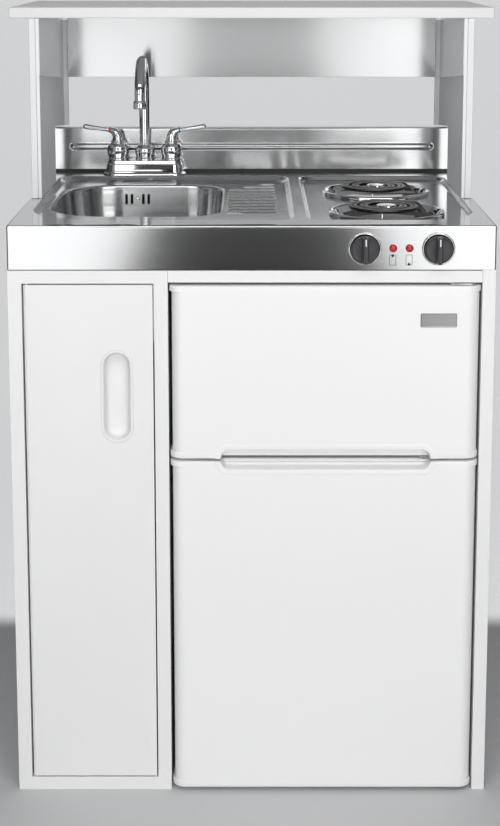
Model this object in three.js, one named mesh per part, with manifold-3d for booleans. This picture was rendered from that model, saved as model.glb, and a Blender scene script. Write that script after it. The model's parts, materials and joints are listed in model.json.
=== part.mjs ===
// A kitchenette unit: a pressed steel worktop with sink, tap and two coil burners over a sink
// cupboard and a two-door refrigerator, with a shelf unit standing on the worktop.
// Millimetres, +Z up. The pieces are laid out with X across the unit from its middle, Y back from
// the plane of the cabinet fronts and Z up from the floor.
import * as THREE from "three";
import { mergeVertices } from "three/addons/utils/BufferGeometryUtils.js";
import Module from "manifold-3d";

const wasm = await Module();
wasm.setup();

// ---- Driving dimensions ----
const WIDTH = 762;
const DEPTH = 645;
const WORKTOP_TOP = 938;
const UNIT_HEIGHT = 1264;
const SHELF_WIDTH = 820;
const SHEET = 1.5; // thickness of the folded and pressed sheet
const GAP = 0.3; // clearance between two pieces that touch
const HALF = WIDTH / 2;

// Cabinet
const CABINET_TOP = 868.2;
const FRAME = { left: -HALF, right: -131, top: 866.9, depth: 20 };
const DOORWAY = { left: -359.4, right: -152.5, bottom: 21.8, top: 846.2 };
const SIDE_REAR = 640;
const SIDE_FLANGE = 20;
const RIGHT_SIDE_FACE = 20.5;
const PARTITION_NOTCH = { front: 120, rear: 520, top: 838 };
const RAIL = { bottom: 848, top: 866.9, depth: 30 };
const REAR_FRAME = { front: 612, bar: 28 };
const PIPE_CUTOUT = { left: -300, right: -180, bottom: 600, top: 780 };

// Sink door
const SINK_DOOR = { left: -357.2, right: -154.7, bottom: 24, top: 844, depth: 20 };
const PIVOT_INSET = 5.7;
const PIVOT_RADIUS = 2.5;
const PIVOT_REACH = 8;
const PULL = { x: -212, z: 664.5, width: 51, height: 151, lip: 4.5, depth: 16 };

// Worktop
const FASCIA_BOTTOM = 868.5;
const NOSE_RADIUS = 4;
const DISH_DEPTH = 8;
const DISH_Y = [57, 567];
const SINK_DISH = { x: [-362, 72], y: DISH_Y, radii: [112, 28, 30, 40], run: 13 };
const HOB_DISH = { x: [88, 362], y: DISH_Y, radii: [28, 90, 40, 30], run: 8 };
const BOWL = { x: [-338, -52], y: [139, 500], radii: [100, 66, 66, 100] };
const BOWL_DEPTH = 94;
const RIB = { count: 11, first: 175, last: 501, left: -43, right: 44, radius: 5, proud: 1.6 };
const DRAIN = { x: -240, y: 319 };
const OVERFLOW = { x: -211, z: WORKTOP_TOP - 34, slots: [-20.5, -10.5, 10.5, 20.5] };
const OVERFLOW_SLOT = { width: 4, height: 19 };
const TRAP = { radius: 19, bend: 44, low: 680, arm: 722 };

// Tap
const TAP = { x: -203, y: 590 };
const VALVE_OFFSET = 50.8;
const SPOUT_REACH = 124;
const SPOUT_RADIUS = 9.5;
const SPOUT_TOP = 229;

// Hob
const BURNER_X = 222;
const BURNER_Y = { front: 162.5, rear: 395 };
const RING_RADIUS = 96;
const COIL = { tube: 3.4, outer: 65.3, pair: 7.3, pitch: 18, turns: 2, height: 4.6 };
const LEG = { length: 95, drop: 26 };
const TERMINAL_TURN = -135; // degrees that each element is turned, its terminals to the right
const KNOB = { x: { left: 176, right: 290.5 }, z: 901.5, radius: 21.7, reach: 28 };
const BUSH = 9; // radius of the switch's bush, which clamps the bezel through the fascia
const LAMP = { x: { left: 220, right: 245.5 }, z: 902.4, radius: 6.3 };

// Refrigerator
const FRIDGE = { x: [-124, 356], y: [58, 600], z: [15, PARTITION_NOTCH.top] };
const FRIDGE_DOOR_SHEET = [-125.5, 357];
const FRIDGE_DOOR_CAP = [-129, 359];
const FRIDGE_DOOR = { front: -8, rear: 42, radius: 20, cap: 10 };
const FREEZER_DOOR_Z = [565.5, 843.6];
const LOWER_DOOR_Z = [8, 561];
const GRIP = { x: [-49, 283], z: [547.5, 580], radius: 10, depth: 18 };
const HINGE_PIN = 4;
const WALL = 40;
const FREEZER_SPACE = { z: [592, 800], rear: 540 };
const FOOD_SPACE = { z: [230, 545], rear: 540 };
const FOOD_STEP = { z: [60, 230], rear: 420 };
const COMPRESSOR_BAY = { front: 450, top: 195, floor: 20 };
const RACK = { x: [-61, 300], rear: 124, levels: [100, 395], height: 52, wall: 3, corner: 5 };

// Shelf unit
const BOARD_FRONT = 278.6;
const BOARD_OUTER = 377;
const BOARD = 11;
const LINER = 5.7;
const LINER_REAR_FLANGE = 14.7;
const SHELF_THICKNESS = 18;
const BOARD_NOTCH = { front: 486, height: 103 };
const BACK_PANEL_BOTTOM = WORKTOP_TOP + 182;
const BACKSPLASH = { front: 620, height: 86, gap: 6, bead: 341, beadRadius: 6.5, beadZ: 49.5 };

const UNIT_SHIFT = -(DEPTH - KNOB.reach) / 2;

// ---- Finishes ----
const finish = (color, roughness, metalness) => () =>
  new THREE.MeshStandardMaterial({ color, roughness, metalness });
const brushedSteel = finish(0xb9bbbd, 0.35, 1);
const whiteSteel = finish(0xeef0f0, 0.45, 0);
const whitePlastic = finish(0xf2f3f3, 0.35, 0);
const greyPlastic = finish(0xc9cccd, 0.4, 0);
const chrome = finish(0xdfe2e4, 0.08, 1);
const blackPlastic = finish(0x1d1e20, 0.45, 0);
const coilSheath = finish(0x2b2d2f, 0.55, 0.6);
const zincSteel = finish(0xa9adb0, 0.4, 1);
const redLens = finish(0xc2231c, 0.2, 0);
const glassClear = finish(0xd5e6e4, 0.05, 0);
const gasketRubber = finish(0xd9dada, 0.7, 0);
const compressorBlack = finish(0x222326, 0.5, 0.2);

// ---- Geometry tools ----
const WELD = 1e-3;
const TURN = 2 * Math.PI;
const PLANES = {
  x: new THREE.Matrix4().makeBasis(
    new THREE.Vector3(0, 1, 0),
    new THREE.Vector3(0, 0, 1),
    new THREE.Vector3(1, 0, 0),
  ),
  y: new THREE.Matrix4().makeBasis(
    new THREE.Vector3(1, 0, 0),
    new THREE.Vector3(0, 0, 1),
    new THREE.Vector3(0, 1, 0),
  ),
  z: new THREE.Matrix4(),
};

// A closed geometry as a solid that can be joined and cut, turned right side out.
function solidOf(geometry) {
  const loose = geometry.index ? geometry.toNonIndexed() : geometry;
  const bare = new THREE.BufferGeometry();
  bare.setAttribute("position", loose.getAttribute("position"));
  const welded = mergeVertices(bare, WELD);
  const corners = welded.index.array;
  const triangles = [];
  for (let i = 0; i < corners.length; i += 3) {
    const [a, b, c] = corners.slice(i, i + 3);
    if (a !== b && b !== c && c !== a) triangles.push(a, b, c);
  }
  const vertProperties = welded.attributes.position.array;
  const made = (order) => {
    const triVerts = new Uint32Array(order);
    return new wasm.Manifold(new wasm.Mesh({ numProp: 3, vertProperties, triVerts }));
  };
  const first = made(triangles);
  return first.volume() > 0 ? first : made(triangles.reverse());
}

function geometryOf(solid) {
  const { vertProperties, triVerts } = solid.getMesh();
  const geometry = new THREE.BufferGeometry();
  geometry.setAttribute("position", new THREE.BufferAttribute(vertProperties, 3));
  geometry.setIndex(new THREE.BufferAttribute(triVerts, 1));
  return geometry;
}

const join = (first, ...others) => others.reduce((sum, next) => sum.add(next), first);
const cut = (first, ...others) => others.reduce((rest, next) => rest.subtract(next), first);

function box([x0, x1], [y0, y1], [z0, z1]) {
  const geometry = new THREE.BoxGeometry(x1 - x0, y1 - y0, z1 - z0);
  geometry.translate((x0 + x1) / 2, (y0 + y1) / 2, (z0 + z1) / 2);
  return solidOf(geometry);
}

// A flat outline carried along an axis. The outline's own axes are Y, Z for x, and X, Z for y.
function extrude(shape, axis, from, to, curveSegments = 3) {
  const settings = { depth: to - from, bevelEnabled: false, curveSegments };
  const geometry = new THREE.ExtrudeGeometry(shape, settings);
  geometry.translate(0, 0, from).applyMatrix4(PLANES[axis]);
  return solidOf(geometry);
}

function rectangle(u0, v0, u1, v1) {
  return new THREE.Shape([
    new THREE.Vector2(u0, v0),
    new THREE.Vector2(u1, v0),
    new THREE.Vector2(u1, v1),
    new THREE.Vector2(u0, v1),
  ]);
}

function rod(axis, u, v, radius, from, to, sides = 20) {
  const shape = new THREE.Shape().absarc(u, v, radius, 0, TURN);
  return extrude(shape, axis, from, to, sides / 2);
}

// The outline of a sheet folded along a line of [u, v] corners, its thickness to the left of it.
function folded(corners, thickness = SHEET) {
  const line = corners.map(([u, v]) => new THREE.Vector2(u, v));
  const left = (a, b) => new THREE.Vector2(a.y - b.y, b.x - a.x).normalize();
  const inner = line.map((corner, i) => {
    const before = i > 0 ? left(line[i - 1], corner) : left(corner, line[1]);
    const after = i < line.length - 1 ? left(corner, line[i + 1]) : before;
    const mitre = before.clone().add(after).normalize();
    return corner.clone().addScaledVector(mitre, thickness / mitre.dot(after));
  });
  return new THREE.Shape([...line, ...inner.reverse()]);
}

// A profile of [radius, height] points turned round an axis through the given place.
// "up" turns it round Z, "front" round a line that points towards the user.
function turned(profile, sides, [x, y, z], direction = "up") {
  const points = profile.map(([radius, height]) => new THREE.Vector2(radius, height));
  const geometry = new THREE.LatheGeometry(points, sides);
  if (direction === "up") geometry.rotateX(Math.PI / 2);
  if (direction === "front") geometry.rotateX(Math.PI);
  return solidOf(geometry.translate(x, y, z));
}

// Rings with the same number of points, skinned in order and closed by a flat cap at each end.
function loft(rings, axis = "z") {
  const count = rings[0].length;
  const positions = rings.flat().flatMap((point) => [point.x, point.y, point.z]);
  const index = [];
  for (let ring = 0; ring + 1 < rings.length; ring++) {
    for (let i = 0; i < count; i++) {
      const a = ring * count + i;
      const b = ring * count + ((i + 1) % count);
      index.push(a, b, b + count, a, b + count, a + count);
    }
  }
  const top = (rings.length - 1) * count;
  for (let i = 1; i + 1 < count; i++) {
    index.push(0, i + 1, i, top, top + i, top + i + 1);
  }
  const geometry = new THREE.BufferGeometry();
  geometry.setAttribute("position", new THREE.Float32BufferAttribute(positions, 3));
  geometry.setIndex(index);
  return solidOf(geometry.applyMatrix4(PLANES[axis]));
}

// One ring of a rounded rectangle, drawn in by an inset, its corners in the order
// low-low, high-low, high-high, low-high.
function roundRing({ x, y, radii }, inset, level, steps = 6) {
  const corners = [
    [x[0], y[0], 1, 1],
    [x[1], y[0], -1, 1],
    [x[1], y[1], -1, -1],
    [x[0], y[1], 1, -1],
  ];
  return corners.flatMap(([u, v, du, dv], i) => {
    const radius = Math.max(radii[i] - inset, 0.6);
    const centre = [u + du * (inset + radius), v + dv * (inset + radius)];
    return Array.from({ length: steps + 1 }, (_, step) => {
      const angle = Math.PI * (1 + i / 2) + (step / steps) * (Math.PI / 2);
      const across = centre[0] + radius * Math.cos(angle);
      return new THREE.Vector3(across, centre[1] + radius * Math.sin(angle), level);
    });
  });
}

const roundLoft = (outline, levels, axis = "z", steps = 5) =>
  loft(levels.map(([inset, level]) => roundRing(outline, inset, level, steps)), axis);

const evenRadii = (radius) => [radius, radius, radius, radius];

// A round tube along a curve, its radius given at each share of the way.
function taperedTube(curve, radiusAt, steps, sides) {
  const frames = curve.computeFrenetFrames(steps);
  const rings = Array.from({ length: steps + 1 }, (_, i) => {
    const centre = curve.getPointAt(i / steps);
    return Array.from({ length: sides }, (_, side) => {
      const angle = (side / sides) * TURN;
      const spoke = frames.normals[i].clone().multiplyScalar(Math.cos(angle));
      spoke.addScaledVector(frames.binormals[i], Math.sin(angle));
      return centre.clone().addScaledVector(spoke, radiusAt(i / steps));
    });
  });
  return loft(rings);
}

// A round tube through the given places, for a line that never runs straight up.
function jointedTube(places, radius, sides) {
  const up = new THREE.Vector3(0, 0, 1);
  const rings = places.map((centre, i) => {
    const next = places[Math.min(i + 1, places.length - 1)];
    const along = next.clone().sub(places[Math.max(i - 1, 0)]).normalize();
    const across = along.clone().cross(up).normalize();
    const over = across.clone().cross(along);
    return Array.from({ length: sides }, (_, side) => {
      const angle = (side / sides) * TURN;
      const spoke = across.clone().multiplyScalar(radius * Math.cos(angle));
      return spoke.addScaledVector(over, radius * Math.sin(angle)).add(centre);
    });
  });
  return loft(rings);
}

function tube(curve, radius, steps, sides) {
  const section = new THREE.Shape().absarc(0, 0, radius, 0, TURN);
  const settings = { steps, extrudePath: curve, bevelEnabled: false, curveSegments: sides / 2 };
  return solidOf(new THREE.ExtrudeGeometry(section, settings));
}

const curveThrough = (points) => {
  const places = points.map(([x, y, z]) => new THREE.Vector3(x, y, z));
  return new THREE.CatmullRomCurve3(places, false, "centripetal");
};

// ---- Assemblies ----
const kitchenette = new THREE.Group();
const unit = new THREE.Group();
unit.position.y = UNIT_SHIFT;
kitchenette.add(unit);

function assembly() {
  const group = new THREE.Group();
  unit.add(group);
  return group;
}

function place(group, name, solid, material) {
  const mesh = new THREE.Mesh(geometryOf(solid), material());
  mesh.name = name;
  group.add(mesh);
}

// ---- Cabinet ----
function faceFrame() {
  const outline = rectangle(FRAME.left, 0, FRAME.right, FRAME.top);
  const bar = extrude(outline, "y", 0, FRAME.depth);
  const { left, right, bottom, top } = DOORWAY;
  const doorway = box([left, right], [-1, FRAME.depth + 1], [bottom, top]);
  const grooveOutline = rectangle(
    FRAME.left + SHEET,
    SHEET,
    FRAME.right - SHEET,
    FRAME.top - SHEET,
  );
  grooveOutline.holes.push(
    rectangle(left - SHEET, bottom - SHEET, right + SHEET, top + SHEET),
  );
  const groove = extrude(grooveOutline, "y", SHEET, FRAME.depth + 1);
  const pivotX = SINK_DOOR.left + PIVOT_INSET;
  const holes = rod("z", pivotX, PIVOT_INSET, PIVOT_RADIUS + 0.5, bottom - 3, top + 3, 12);
  return cut(bar, doorway, groove, holes);
}

function leftSide() {
  const line = [
    [-HALF + SIDE_FLANGE, SIDE_REAR],
    [-HALF, SIDE_REAR],
    [-HALF, FRAME.depth + GAP],
    [-HALF + SIDE_FLANGE, FRAME.depth + GAP],
  ];
  return extrude(folded(line), "z", 0, CABINET_TOP);
}

function partition() {
  const line = [
    [FRAME.right - SIDE_FLANGE, FRAME.depth + GAP],
    [FRAME.right, FRAME.depth + GAP],
    [FRAME.right, SIDE_REAR],
    [FRAME.right - SIDE_FLANGE, SIDE_REAR],
  ];
  const { front, rear, top } = PARTITION_NOTCH;
  const notch = box(
    [FRAME.right - 2 * SIDE_FLANGE, FRAME.right + 1],
    [front, rear],
    [top, CABINET_TOP + 1],
  );
  return cut(extrude(folded(line), "z", 0, CABINET_TOP), notch);
}

function rightSide() {
  const inner = HALF - RIGHT_SIDE_FACE;
  const line = [
    [inner, 40],
    [inner, 0],
    [HALF, 0],
    [HALF, SIDE_REAR],
    [inner, SIDE_REAR],
  ];
  return extrude(folded(line), "z", 0, CABINET_TOP);
}

const CUPBOARD_X = [-HALF + SHEET + GAP, FRAME.right - SHEET - GAP];
const CUPBOARD_FRONT = FRAME.depth + GAP + SHEET + GAP;
const CUPBOARD_REAR = SIDE_REAR - SHEET - GAP;

function cabinetFloor() {
  const line = [
    [CUPBOARD_REAR, 0],
    [CUPBOARD_REAR, DOORWAY.bottom - GAP],
    [CUPBOARD_FRONT, DOORWAY.bottom - GAP],
    [CUPBOARD_FRONT, 0],
  ];
  return extrude(folded(line), "x", ...CUPBOARD_X);
}

function backPanel() {
  const sheet = rectangle(CUPBOARD_X[0], DOORWAY.bottom, CUPBOARD_X[1], CABINET_TOP - 10);
  const { left, right, bottom, top } = PIPE_CUTOUT;
  sheet.holes.push(rectangle(left, bottom, right, top));
  return extrude(sheet, "y", CUPBOARD_REAR - SHEET, CUPBOARD_REAR);
}

function fridgeRail() {
  const line = [
    [RAIL.depth, RAIL.top],
    [0, RAIL.top],
    [0, RAIL.bottom],
    [RAIL.depth, RAIL.bottom],
  ];
  const span = [FRAME.right + GAP, HALF - RIGHT_SIDE_FACE - GAP];
  return extrude(folded(line), "x", ...span);
}

// Two bars and two posts behind the refrigerator, one frame that ties the bay together.
function rearFrame() {
  const { front, bar } = REAR_FRAME;
  const left = FRAME.right + GAP;
  const right = HALF - RIGHT_SIDE_FACE - GAP;
  const outline = rectangle(left, 12, right, CABINET_TOP);
  outline.holes.push(rectangle(left + bar, 12 + bar, right - bar, CABINET_TOP - bar));
  return extrude(outline, "y", front, SIDE_REAR - SHEET - GAP);
}

// A magnet on a plate that is screwed to the partition's front flange, behind the door's edge.
function doorCatch() {
  const z = 434;
  const left = DOORWAY.right - 24;
  const plate = box([left, DOORWAY.right + 14], [CUPBOARD_FRONT, 25], [z - 16, z + 16]);
  const magnet = box([left, DOORWAY.right - 3], [SINK_DOOR.depth + 0.6, 36], [z - 13, z + 13]);
  return join(plate, magnet);
}

function buildCabinet() {
  const cabinet = assembly();
  place(cabinet, "face_frame", faceFrame(), whiteSteel);
  place(cabinet, "left_side", leftSide(), whiteSteel);
  place(cabinet, "partition", partition(), whiteSteel);
  place(cabinet, "right_side", rightSide(), whiteSteel);
  place(cabinet, "cabinet_floor", cabinetFloor(), whiteSteel);
  place(cabinet, "back_panel", backPanel(), whiteSteel);
  place(cabinet, "fridge_rail", fridgeRail(), whiteSteel);
  place(cabinet, "rear_frame", rearFrame(), whiteSteel);
  place(cabinet, "door_catch", doorCatch(), blackPlastic);
}

// ---- Sink door ----
// The section is rounded about the pivot, so that the hinged edge clears the frame.
function doorPan() {
  const { left, right, bottom, top, depth } = SINK_DOOR;
  const pivot = left + PIVOT_INSET;
  const section = (inset) => {
    const shape = new THREE.Shape();
    shape.moveTo(right - inset, depth + (inset ? 1 : 0));
    shape.lineTo(right - inset, inset);
    shape.lineTo(pivot, inset);
    shape.absarc(pivot, PIVOT_INSET, PIVOT_INSET - inset, 1.5 * Math.PI, Math.PI, true);
    shape.lineTo(left + inset, depth + (inset ? 1 : 0));
    return shape;
  };
  const pan = cut(
    extrude(section(0), "z", bottom, top),
    extrude(section(SHEET), "z", bottom + SHEET, top - SHEET),
  );
  const hole = pullOutline(PULL.lip - 1);
  const open = cut(pan, roundLoft(hole, [[0, -2], [0, SHEET + 2]], "y"));
  const upper = pivotPin(top - SHEET, top + PIVOT_REACH);
  return join(open, upper, pivotPin(bottom - PIVOT_REACH, bottom + SHEET));
}

function pullOutline(inset) {
  const half = PULL.width / 2 - inset;
  const rise = PULL.height / 2 - inset;
  return {
    x: [PULL.x - half, PULL.x + half],
    y: [PULL.z - rise, PULL.z + rise],
    radii: evenRadii(half - 0.1),
  };
}

// A flat lip on the door's face round a cup whose ends slope in.
function fingerPull() {
  const lip = roundLoft(pullOutline(0), [[0.8, -1.6], [0, -1.1], [0, -GAP]], "y");
  const cup = pullOutline(PULL.lip - 1 + GAP);
  const hollow = pullOutline(PULL.lip + 1);
  const shell = roundLoft(cup, [[0, -GAP - 0.2], [1, 9], [6, PULL.depth + SHEET]], "y");
  const space = roundLoft(hollow, [[-1, -2], [0, -0.6], [1, 9], [6, PULL.depth]], "y");
  return cut(join(lip, shell), space);
}

function pivotPin(from, to) {
  const [x, y] = [SINK_DOOR.left + PIVOT_INSET, PIVOT_INSET];
  return rod("z", x, y, PIVOT_RADIUS, from, to, 12);
}

function doorStiffener() {
  const middle = -285;
  const rear = SINK_DOOR.depth - GAP;
  const front = SHEET + GAP;
  const line = [
    [middle - 32, front],
    [middle - 18, front],
    [middle - 18, rear],
    [middle + 18, rear],
    [middle + 18, front],
    [middle + 32, front],
  ];
  const ends = SHEET + GAP;
  const shape = folded(line, 1.2);
  return extrude(shape, "z", SINK_DOOR.bottom + ends, SINK_DOOR.top - ends);
}

function buildSinkDoor() {
  const door = assembly();
  place(door, "sink_door", doorPan(), whiteSteel);
  place(door, "door_stiffener", doorStiffener(), whiteSteel);
  place(door, "finger_pull", fingerPull(), whitePlastic);
}

// ---- Worktop ----
const heightOn = (rise) => WORKTOP_TOP + rise;

// The wall of a pressed dish, rounded over at the rim and into the floor: shares of its run and
// of its depth.
const DISH_WALL = [
  [0, -0.08],
  [0, 0],
  [0.2, 0.12],
  [0.75, 0.88],
  [1, 1],
];

function dishSolid(dish, offset, rise) {
  const levels = DISH_WALL.map(([share, depth]) => [
    share * dish.run - offset,
    heightOn(rise - depth * DISH_DEPTH),
  ]);
  return roundLoft(dish, levels, "z", 5);
}

// The nose, fascia and skirts: a folded and rounded section closed by the two end skirts.
function worktopSection(inset) {
  const rear = DEPTH - inset;
  const radius = NOSE_RADIUS - inset;
  const low = inset ? FASCIA_BOTTOM - 1 : FASCIA_BOTTOM;
  const shape = new THREE.Shape();
  shape.moveTo(rear, low);
  shape.lineTo(rear, WORKTOP_TOP - inset);
  shape.lineTo(NOSE_RADIUS, WORKTOP_TOP - inset);
  shape.absarc(NOSE_RADIUS, WORKTOP_TOP - NOSE_RADIUS, radius, Math.PI / 2, Math.PI, false);
  shape.lineTo(inset, low);
  return shape;
}

function drainRibs() {
  const pitch = (RIB.last - RIB.first) / (RIB.count - 1);
  const floor = heightOn(-DISH_DEPTH);
  const rise = RIB.proud;
  return Array.from({ length: RIB.count }, (_, i) => {
    const y = RIB.first + i * pitch;
    const outline = {
      x: [RIB.left, RIB.right],
      y: [y - RIB.radius, y + RIB.radius],
      radii: evenRadii(RIB.radius - 0.1),
    };
    return roundLoft(outline, [[-0.8, floor - 0.8], [2.6, floor + rise]], "z", 2);
  });
}

function worktop() {
  const outer = extrude(worktopSection(0), "x", -HALF, HALF);
  const inner = extrude(worktopSection(SHEET), "x", -HALF + SHEET, HALF - SHEET);
  let sheet = cut(outer, inner);
  const dishes = [SINK_DISH, HOB_DISH];
  sheet = join(sheet, ...dishes.map((dish) => dishSolid(dish, SHEET, -SHEET)));
  sheet = cut(sheet, ...dishes.map((dish) => dishSolid(dish, 0, 0)));
  const bowlHole = roundLoft(BOWL, [[0, heightOn(-20)], [0, heightOn(0)]], "z", 7);
  const burners = Object.values(BURNER_Y).map((y) =>
    rod("z", BURNER_X, y, RING_RADIUS - 10, heightOn(-20), heightOn(0), 32),
  );
  const shanks = [-1, 1].map((side) =>
    rod("z", TAP.x + side * VALVE_OFFSET, TAP.y, 11.5, heightOn(-5), heightOn(5), 16),
  );
  const controls = [
    ...Object.values(KNOB.x).map((x) => rod("y", x, KNOB.z, BUSH + GAP, -1, 3, 20)),
    ...Object.values(LAMP.x).map((x) => rod("y", x, LAMP.z, 4.2, -1, 3, 16)),
  ];
  sheet = cut(sheet, bowlHole, ...burners, ...shanks, ...controls);
  return join(sheet, ...drainRibs());
}

// The drawn bowl hangs under the worktop's opening from its own flat flange.
const BOWL_WALL = [
  [2, -14],
  [7, -60],
  [12, -80],
  [20, -90],
  [36, -BOWL_DEPTH],
];

function sinkBowl() {
  const wall = 1.2;
  const top = heightOn(-DISH_DEPTH - SHEET - GAP);
  const outside = BOWL_WALL.map(([inset, z]) => [inset - wall, heightOn(z - wall)]);
  const inside = BOWL_WALL.map(([inset, z]) => [inset, heightOn(z)]);
  const flange = roundLoft(BOWL, [[-9, top - wall], [-9, top]], "z", 7);
  const skin = roundLoft(BOWL, [[1 - wall, top - 0.1], ...outside], "z", 7);
  const space = roundLoft(BOWL, [[0, top + 1], ...inside], "z", 7);
  const drain = rod("z", DRAIN.x, DRAIN.y, 44, heightOn(-100), heightOn(-88), 24);
  return cut(join(flange, skin), space, drain, ...overflowSlots());
}

function overflowSlots() {
  const half = OVERFLOW_SLOT.width / 2;
  const rise = OVERFLOW_SLOT.height / 2;
  const through = [BOWL.y[1] - 15, BOWL.y[1] + 5];
  return OVERFLOW.slots.map((offset) => {
    const x = OVERFLOW.x + offset;
    return box([x - half, x + half], through, [OVERFLOW.z - rise, OVERFLOW.z + rise]);
  });
}

// A shallow box behind the overflow slots and the pipe that leads from it to the drain.
function overflowPipe() {
  const rear = BOWL.y[1];
  const half = 30;
  const shell = box(
    [OVERFLOW.x - half, OVERFLOW.x + half],
    [rear + 3, rear + 19],
    [OVERFLOW.z - 24, OVERFLOW.z + 14],
  );
  const space = box(
    [OVERFLOW.x - half + 2, OVERFLOW.x + half - 2],
    [rear, rear + 17],
    [OVERFLOW.z - 22, OVERFLOW.z + 12],
  );
  const pipeX = OVERFLOW.x - 10;
  const route = curveThrough([
    [pipeX, rear + 11, OVERFLOW.z - 23],
    [pipeX, rear + 11, heightOn(-90)],
    [pipeX, rear - 8, heightOn(-122)],
    [DRAIN.x + 2, rear - 70, heightOn(-128)],
    [DRAIN.x, DRAIN.y + 46, heightOn(-128)],
  ]);
  return join(cut(shell, space), tube(route, 7, 14, 8));
}

// Flange, cup and outlet in one profile, a wall that runs down inside and back up outside, with
// the nut that clamps it under the bowl.
function drainBody() {
  const floor = -BOWL_DEPTH + GAP;
  const profile = [
    [41, floor + 1.2],
    [54, floor + 0.9],
    [55, floor],
    [43, floor],
    [43, -140],
    [21, -146],
    [21, -165],
    [17, -165],
    [17, -143],
    [39.5, -137],
    [41, floor + 1.2],
  ];
  const nut = [
    [42, -108],
    [58, -108],
    [58, -96],
    [42, -96],
    [42, -108],
  ];
  const centre = [DRAIN.x, DRAIN.y, WORKTOP_TOP];
  return join(turned(profile, 16, centre), turned(nut, 12, centre));
}

function strainerBasket() {
  const rim = -BOWL_DEPTH + GAP + 1.2 + GAP;
  const profile = [
    [0, -124],
    [30, -124],
    [36, -118],
    [38, rim],
    [44, rim],
    [44, rim + 1],
    [36, rim + 1],
    [34, -117],
    [29, -122],
    [5, -122],
    [4, -100],
    [9, -96],
    [9, -93],
    [0, -92],
  ];
  return turned(profile, 18, [DRAIN.x, DRAIN.y, WORKTOP_TOP]);
}

// The waste pipe falls from the drain, turns up again behind a water seal and runs out at the back.
function wasteTrap() {
  const { x, y } = DRAIN;
  const { radius, bend, low, arm } = TRAP;
  const top = heightOn(-165 - GAP);
  const arc = (centreY, centreZ, from, to, steps) =>
    Array.from({ length: steps + 1 }, (_, i) => {
      const angle = from + ((to - from) * i) / steps;
      return [x, centreY + bend * Math.cos(angle), centreZ + bend * Math.sin(angle)];
    });
  const route = curveThrough([
    [x, y, top],
    [x, y, top - 30],
    ...arc(y + bend, low, Math.PI, TURN, 8),
    ...arc(y + 3 * bend, arm - bend, Math.PI, Math.PI / 2, 4),
    [x, y + 4 * bend, arm],
    [x, DEPTH - 2, arm],
  ]);
  const bore = rod("y", x, arm, radius - 4, DEPTH - 30, DEPTH + 5, 16);
  return cut(tube(route, radius, 22, 10), bore);
}

function backsplash() {
  const top = heightOn(BACKSPLASH.height);
  const bottom = heightOn(BACKSPLASH.gap + GAP);
  const front = BACKSPLASH.front;
  const line = [
    [front + 18, bottom],
    [front, bottom],
    [front, top - 2],
    [front + 2, top],
    [DEPTH, top],
    [DEPTH, top - 14],
  ].reverse();
  const bead = new THREE.CapsuleGeometry(BACKSPLASH.beadRadius, 2 * BACKSPLASH.bead, 4, 14);
  bead.rotateZ(Math.PI / 2).scale(1, 0.9, 1).translate(0, front + 0.8, heightOn(BACKSPLASH.beadZ));
  const sheet = extrude(folded(line), "x", -HALF, HALF);
  const behind = box([-HALF, HALF], [front + SHEET, front + 30], [heightOn(30), heightOn(70)]);
  return join(sheet, cut(solidOf(bead), behind));
}

function backsplashSeal() {
  const y = [BACKSPLASH.front + 2, BACKSPLASH.front + 16];
  return box([-HALF + 2, HALF - 2], y, [heightOn(GAP), heightOn(BACKSPLASH.gap)]);
}

function buildWorktop() {
  const top = assembly();
  place(top, "worktop", worktop(), brushedSteel);
  place(top, "sink_bowl", sinkBowl(), brushedSteel);
  place(top, "overflow_pipe", overflowPipe(), greyPlastic);
  place(top, "drain_body", drainBody(), chrome);
  place(top, "waste_trap", wasteTrap(), whitePlastic);
  place(top, "backsplash", backsplash(), brushedSteel);
  place(top, "backsplash_seal", backsplashSeal(), blackPlastic);
  place(assembly(), "strainer_basket", strainerBasket(), chrome);
}

// ---- Tap ----
const VALVES = [
  { side: "hot", x: TAP.x - VALVE_OFFSET, out: -1 },
  { side: "cold", x: TAP.x + VALVE_OFFSET, out: 1 },
];

function tapBase() {
  const outline = {
    x: [TAP.x - 79, TAP.x + 79],
    y: [TAP.y - 28, TAP.y + 28],
    radii: evenRadii(26),
  };
  const levels = [
    [0, GAP],
    [0.4, 3],
    [5, 5.5],
    [6, 19],
    [9, 21.5],
    [10, 27],
    [11.5, 28],
  ].map(([inset, rise]) => [inset, heightOn(rise)]);
  const shanks = VALVES.flatMap(({ x }) => [
    rod("z", x, TAP.y, 10, heightOn(-52), heightOn(3), 14),
    shankNut(x),
  ]);
  return join(roundLoft(outline, levels, "z", 4), ...shanks);
}

function shankNut(x) {
  const profile = [
    [9, -17],
    [17, -17],
    [17, -5],
    [20, -5],
    [20, -SHEET - GAP],
    [9, -SHEET - GAP],
    [9, -17],
  ];
  return turned(profile, 12, [x, TAP.y, WORKTOP_TOP]);
}

function valveBody(x) {
  const profile = [
    [0, 28.3],
    [18.5, 28.3],
    [19, 31],
    [17.8, 33],
    [20, 41],
    [20.4, 47.5],
    [18.8, 54],
    [15.4, 59],
    [13, 61],
    [13.2, 65],
    [0, 65],
  ];
  return turned(profile, 18, [x, TAP.y, WORKTOP_TOP]);
}

// A thick neck that bends out of the valve, narrows, and swells again towards its round end.
const LEVER_ROUTE = [
  [0.4, 65.8],
  [0.5, 71],
  [3.5, 78.5],
  [11, 83.6],
  [21, 85.6],
  [44, 88.8],
  [66, 92],
];
const LEVER_RADII = [
  [0, 10.4],
  [0.1, 9.6],
  [0.2, 8.4],
  [0.28, 6.4],
  [0.36, 4.6],
  [0.46, 3.9],
  [0.95, 5.2],
  [1, 2.2],
];

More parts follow.
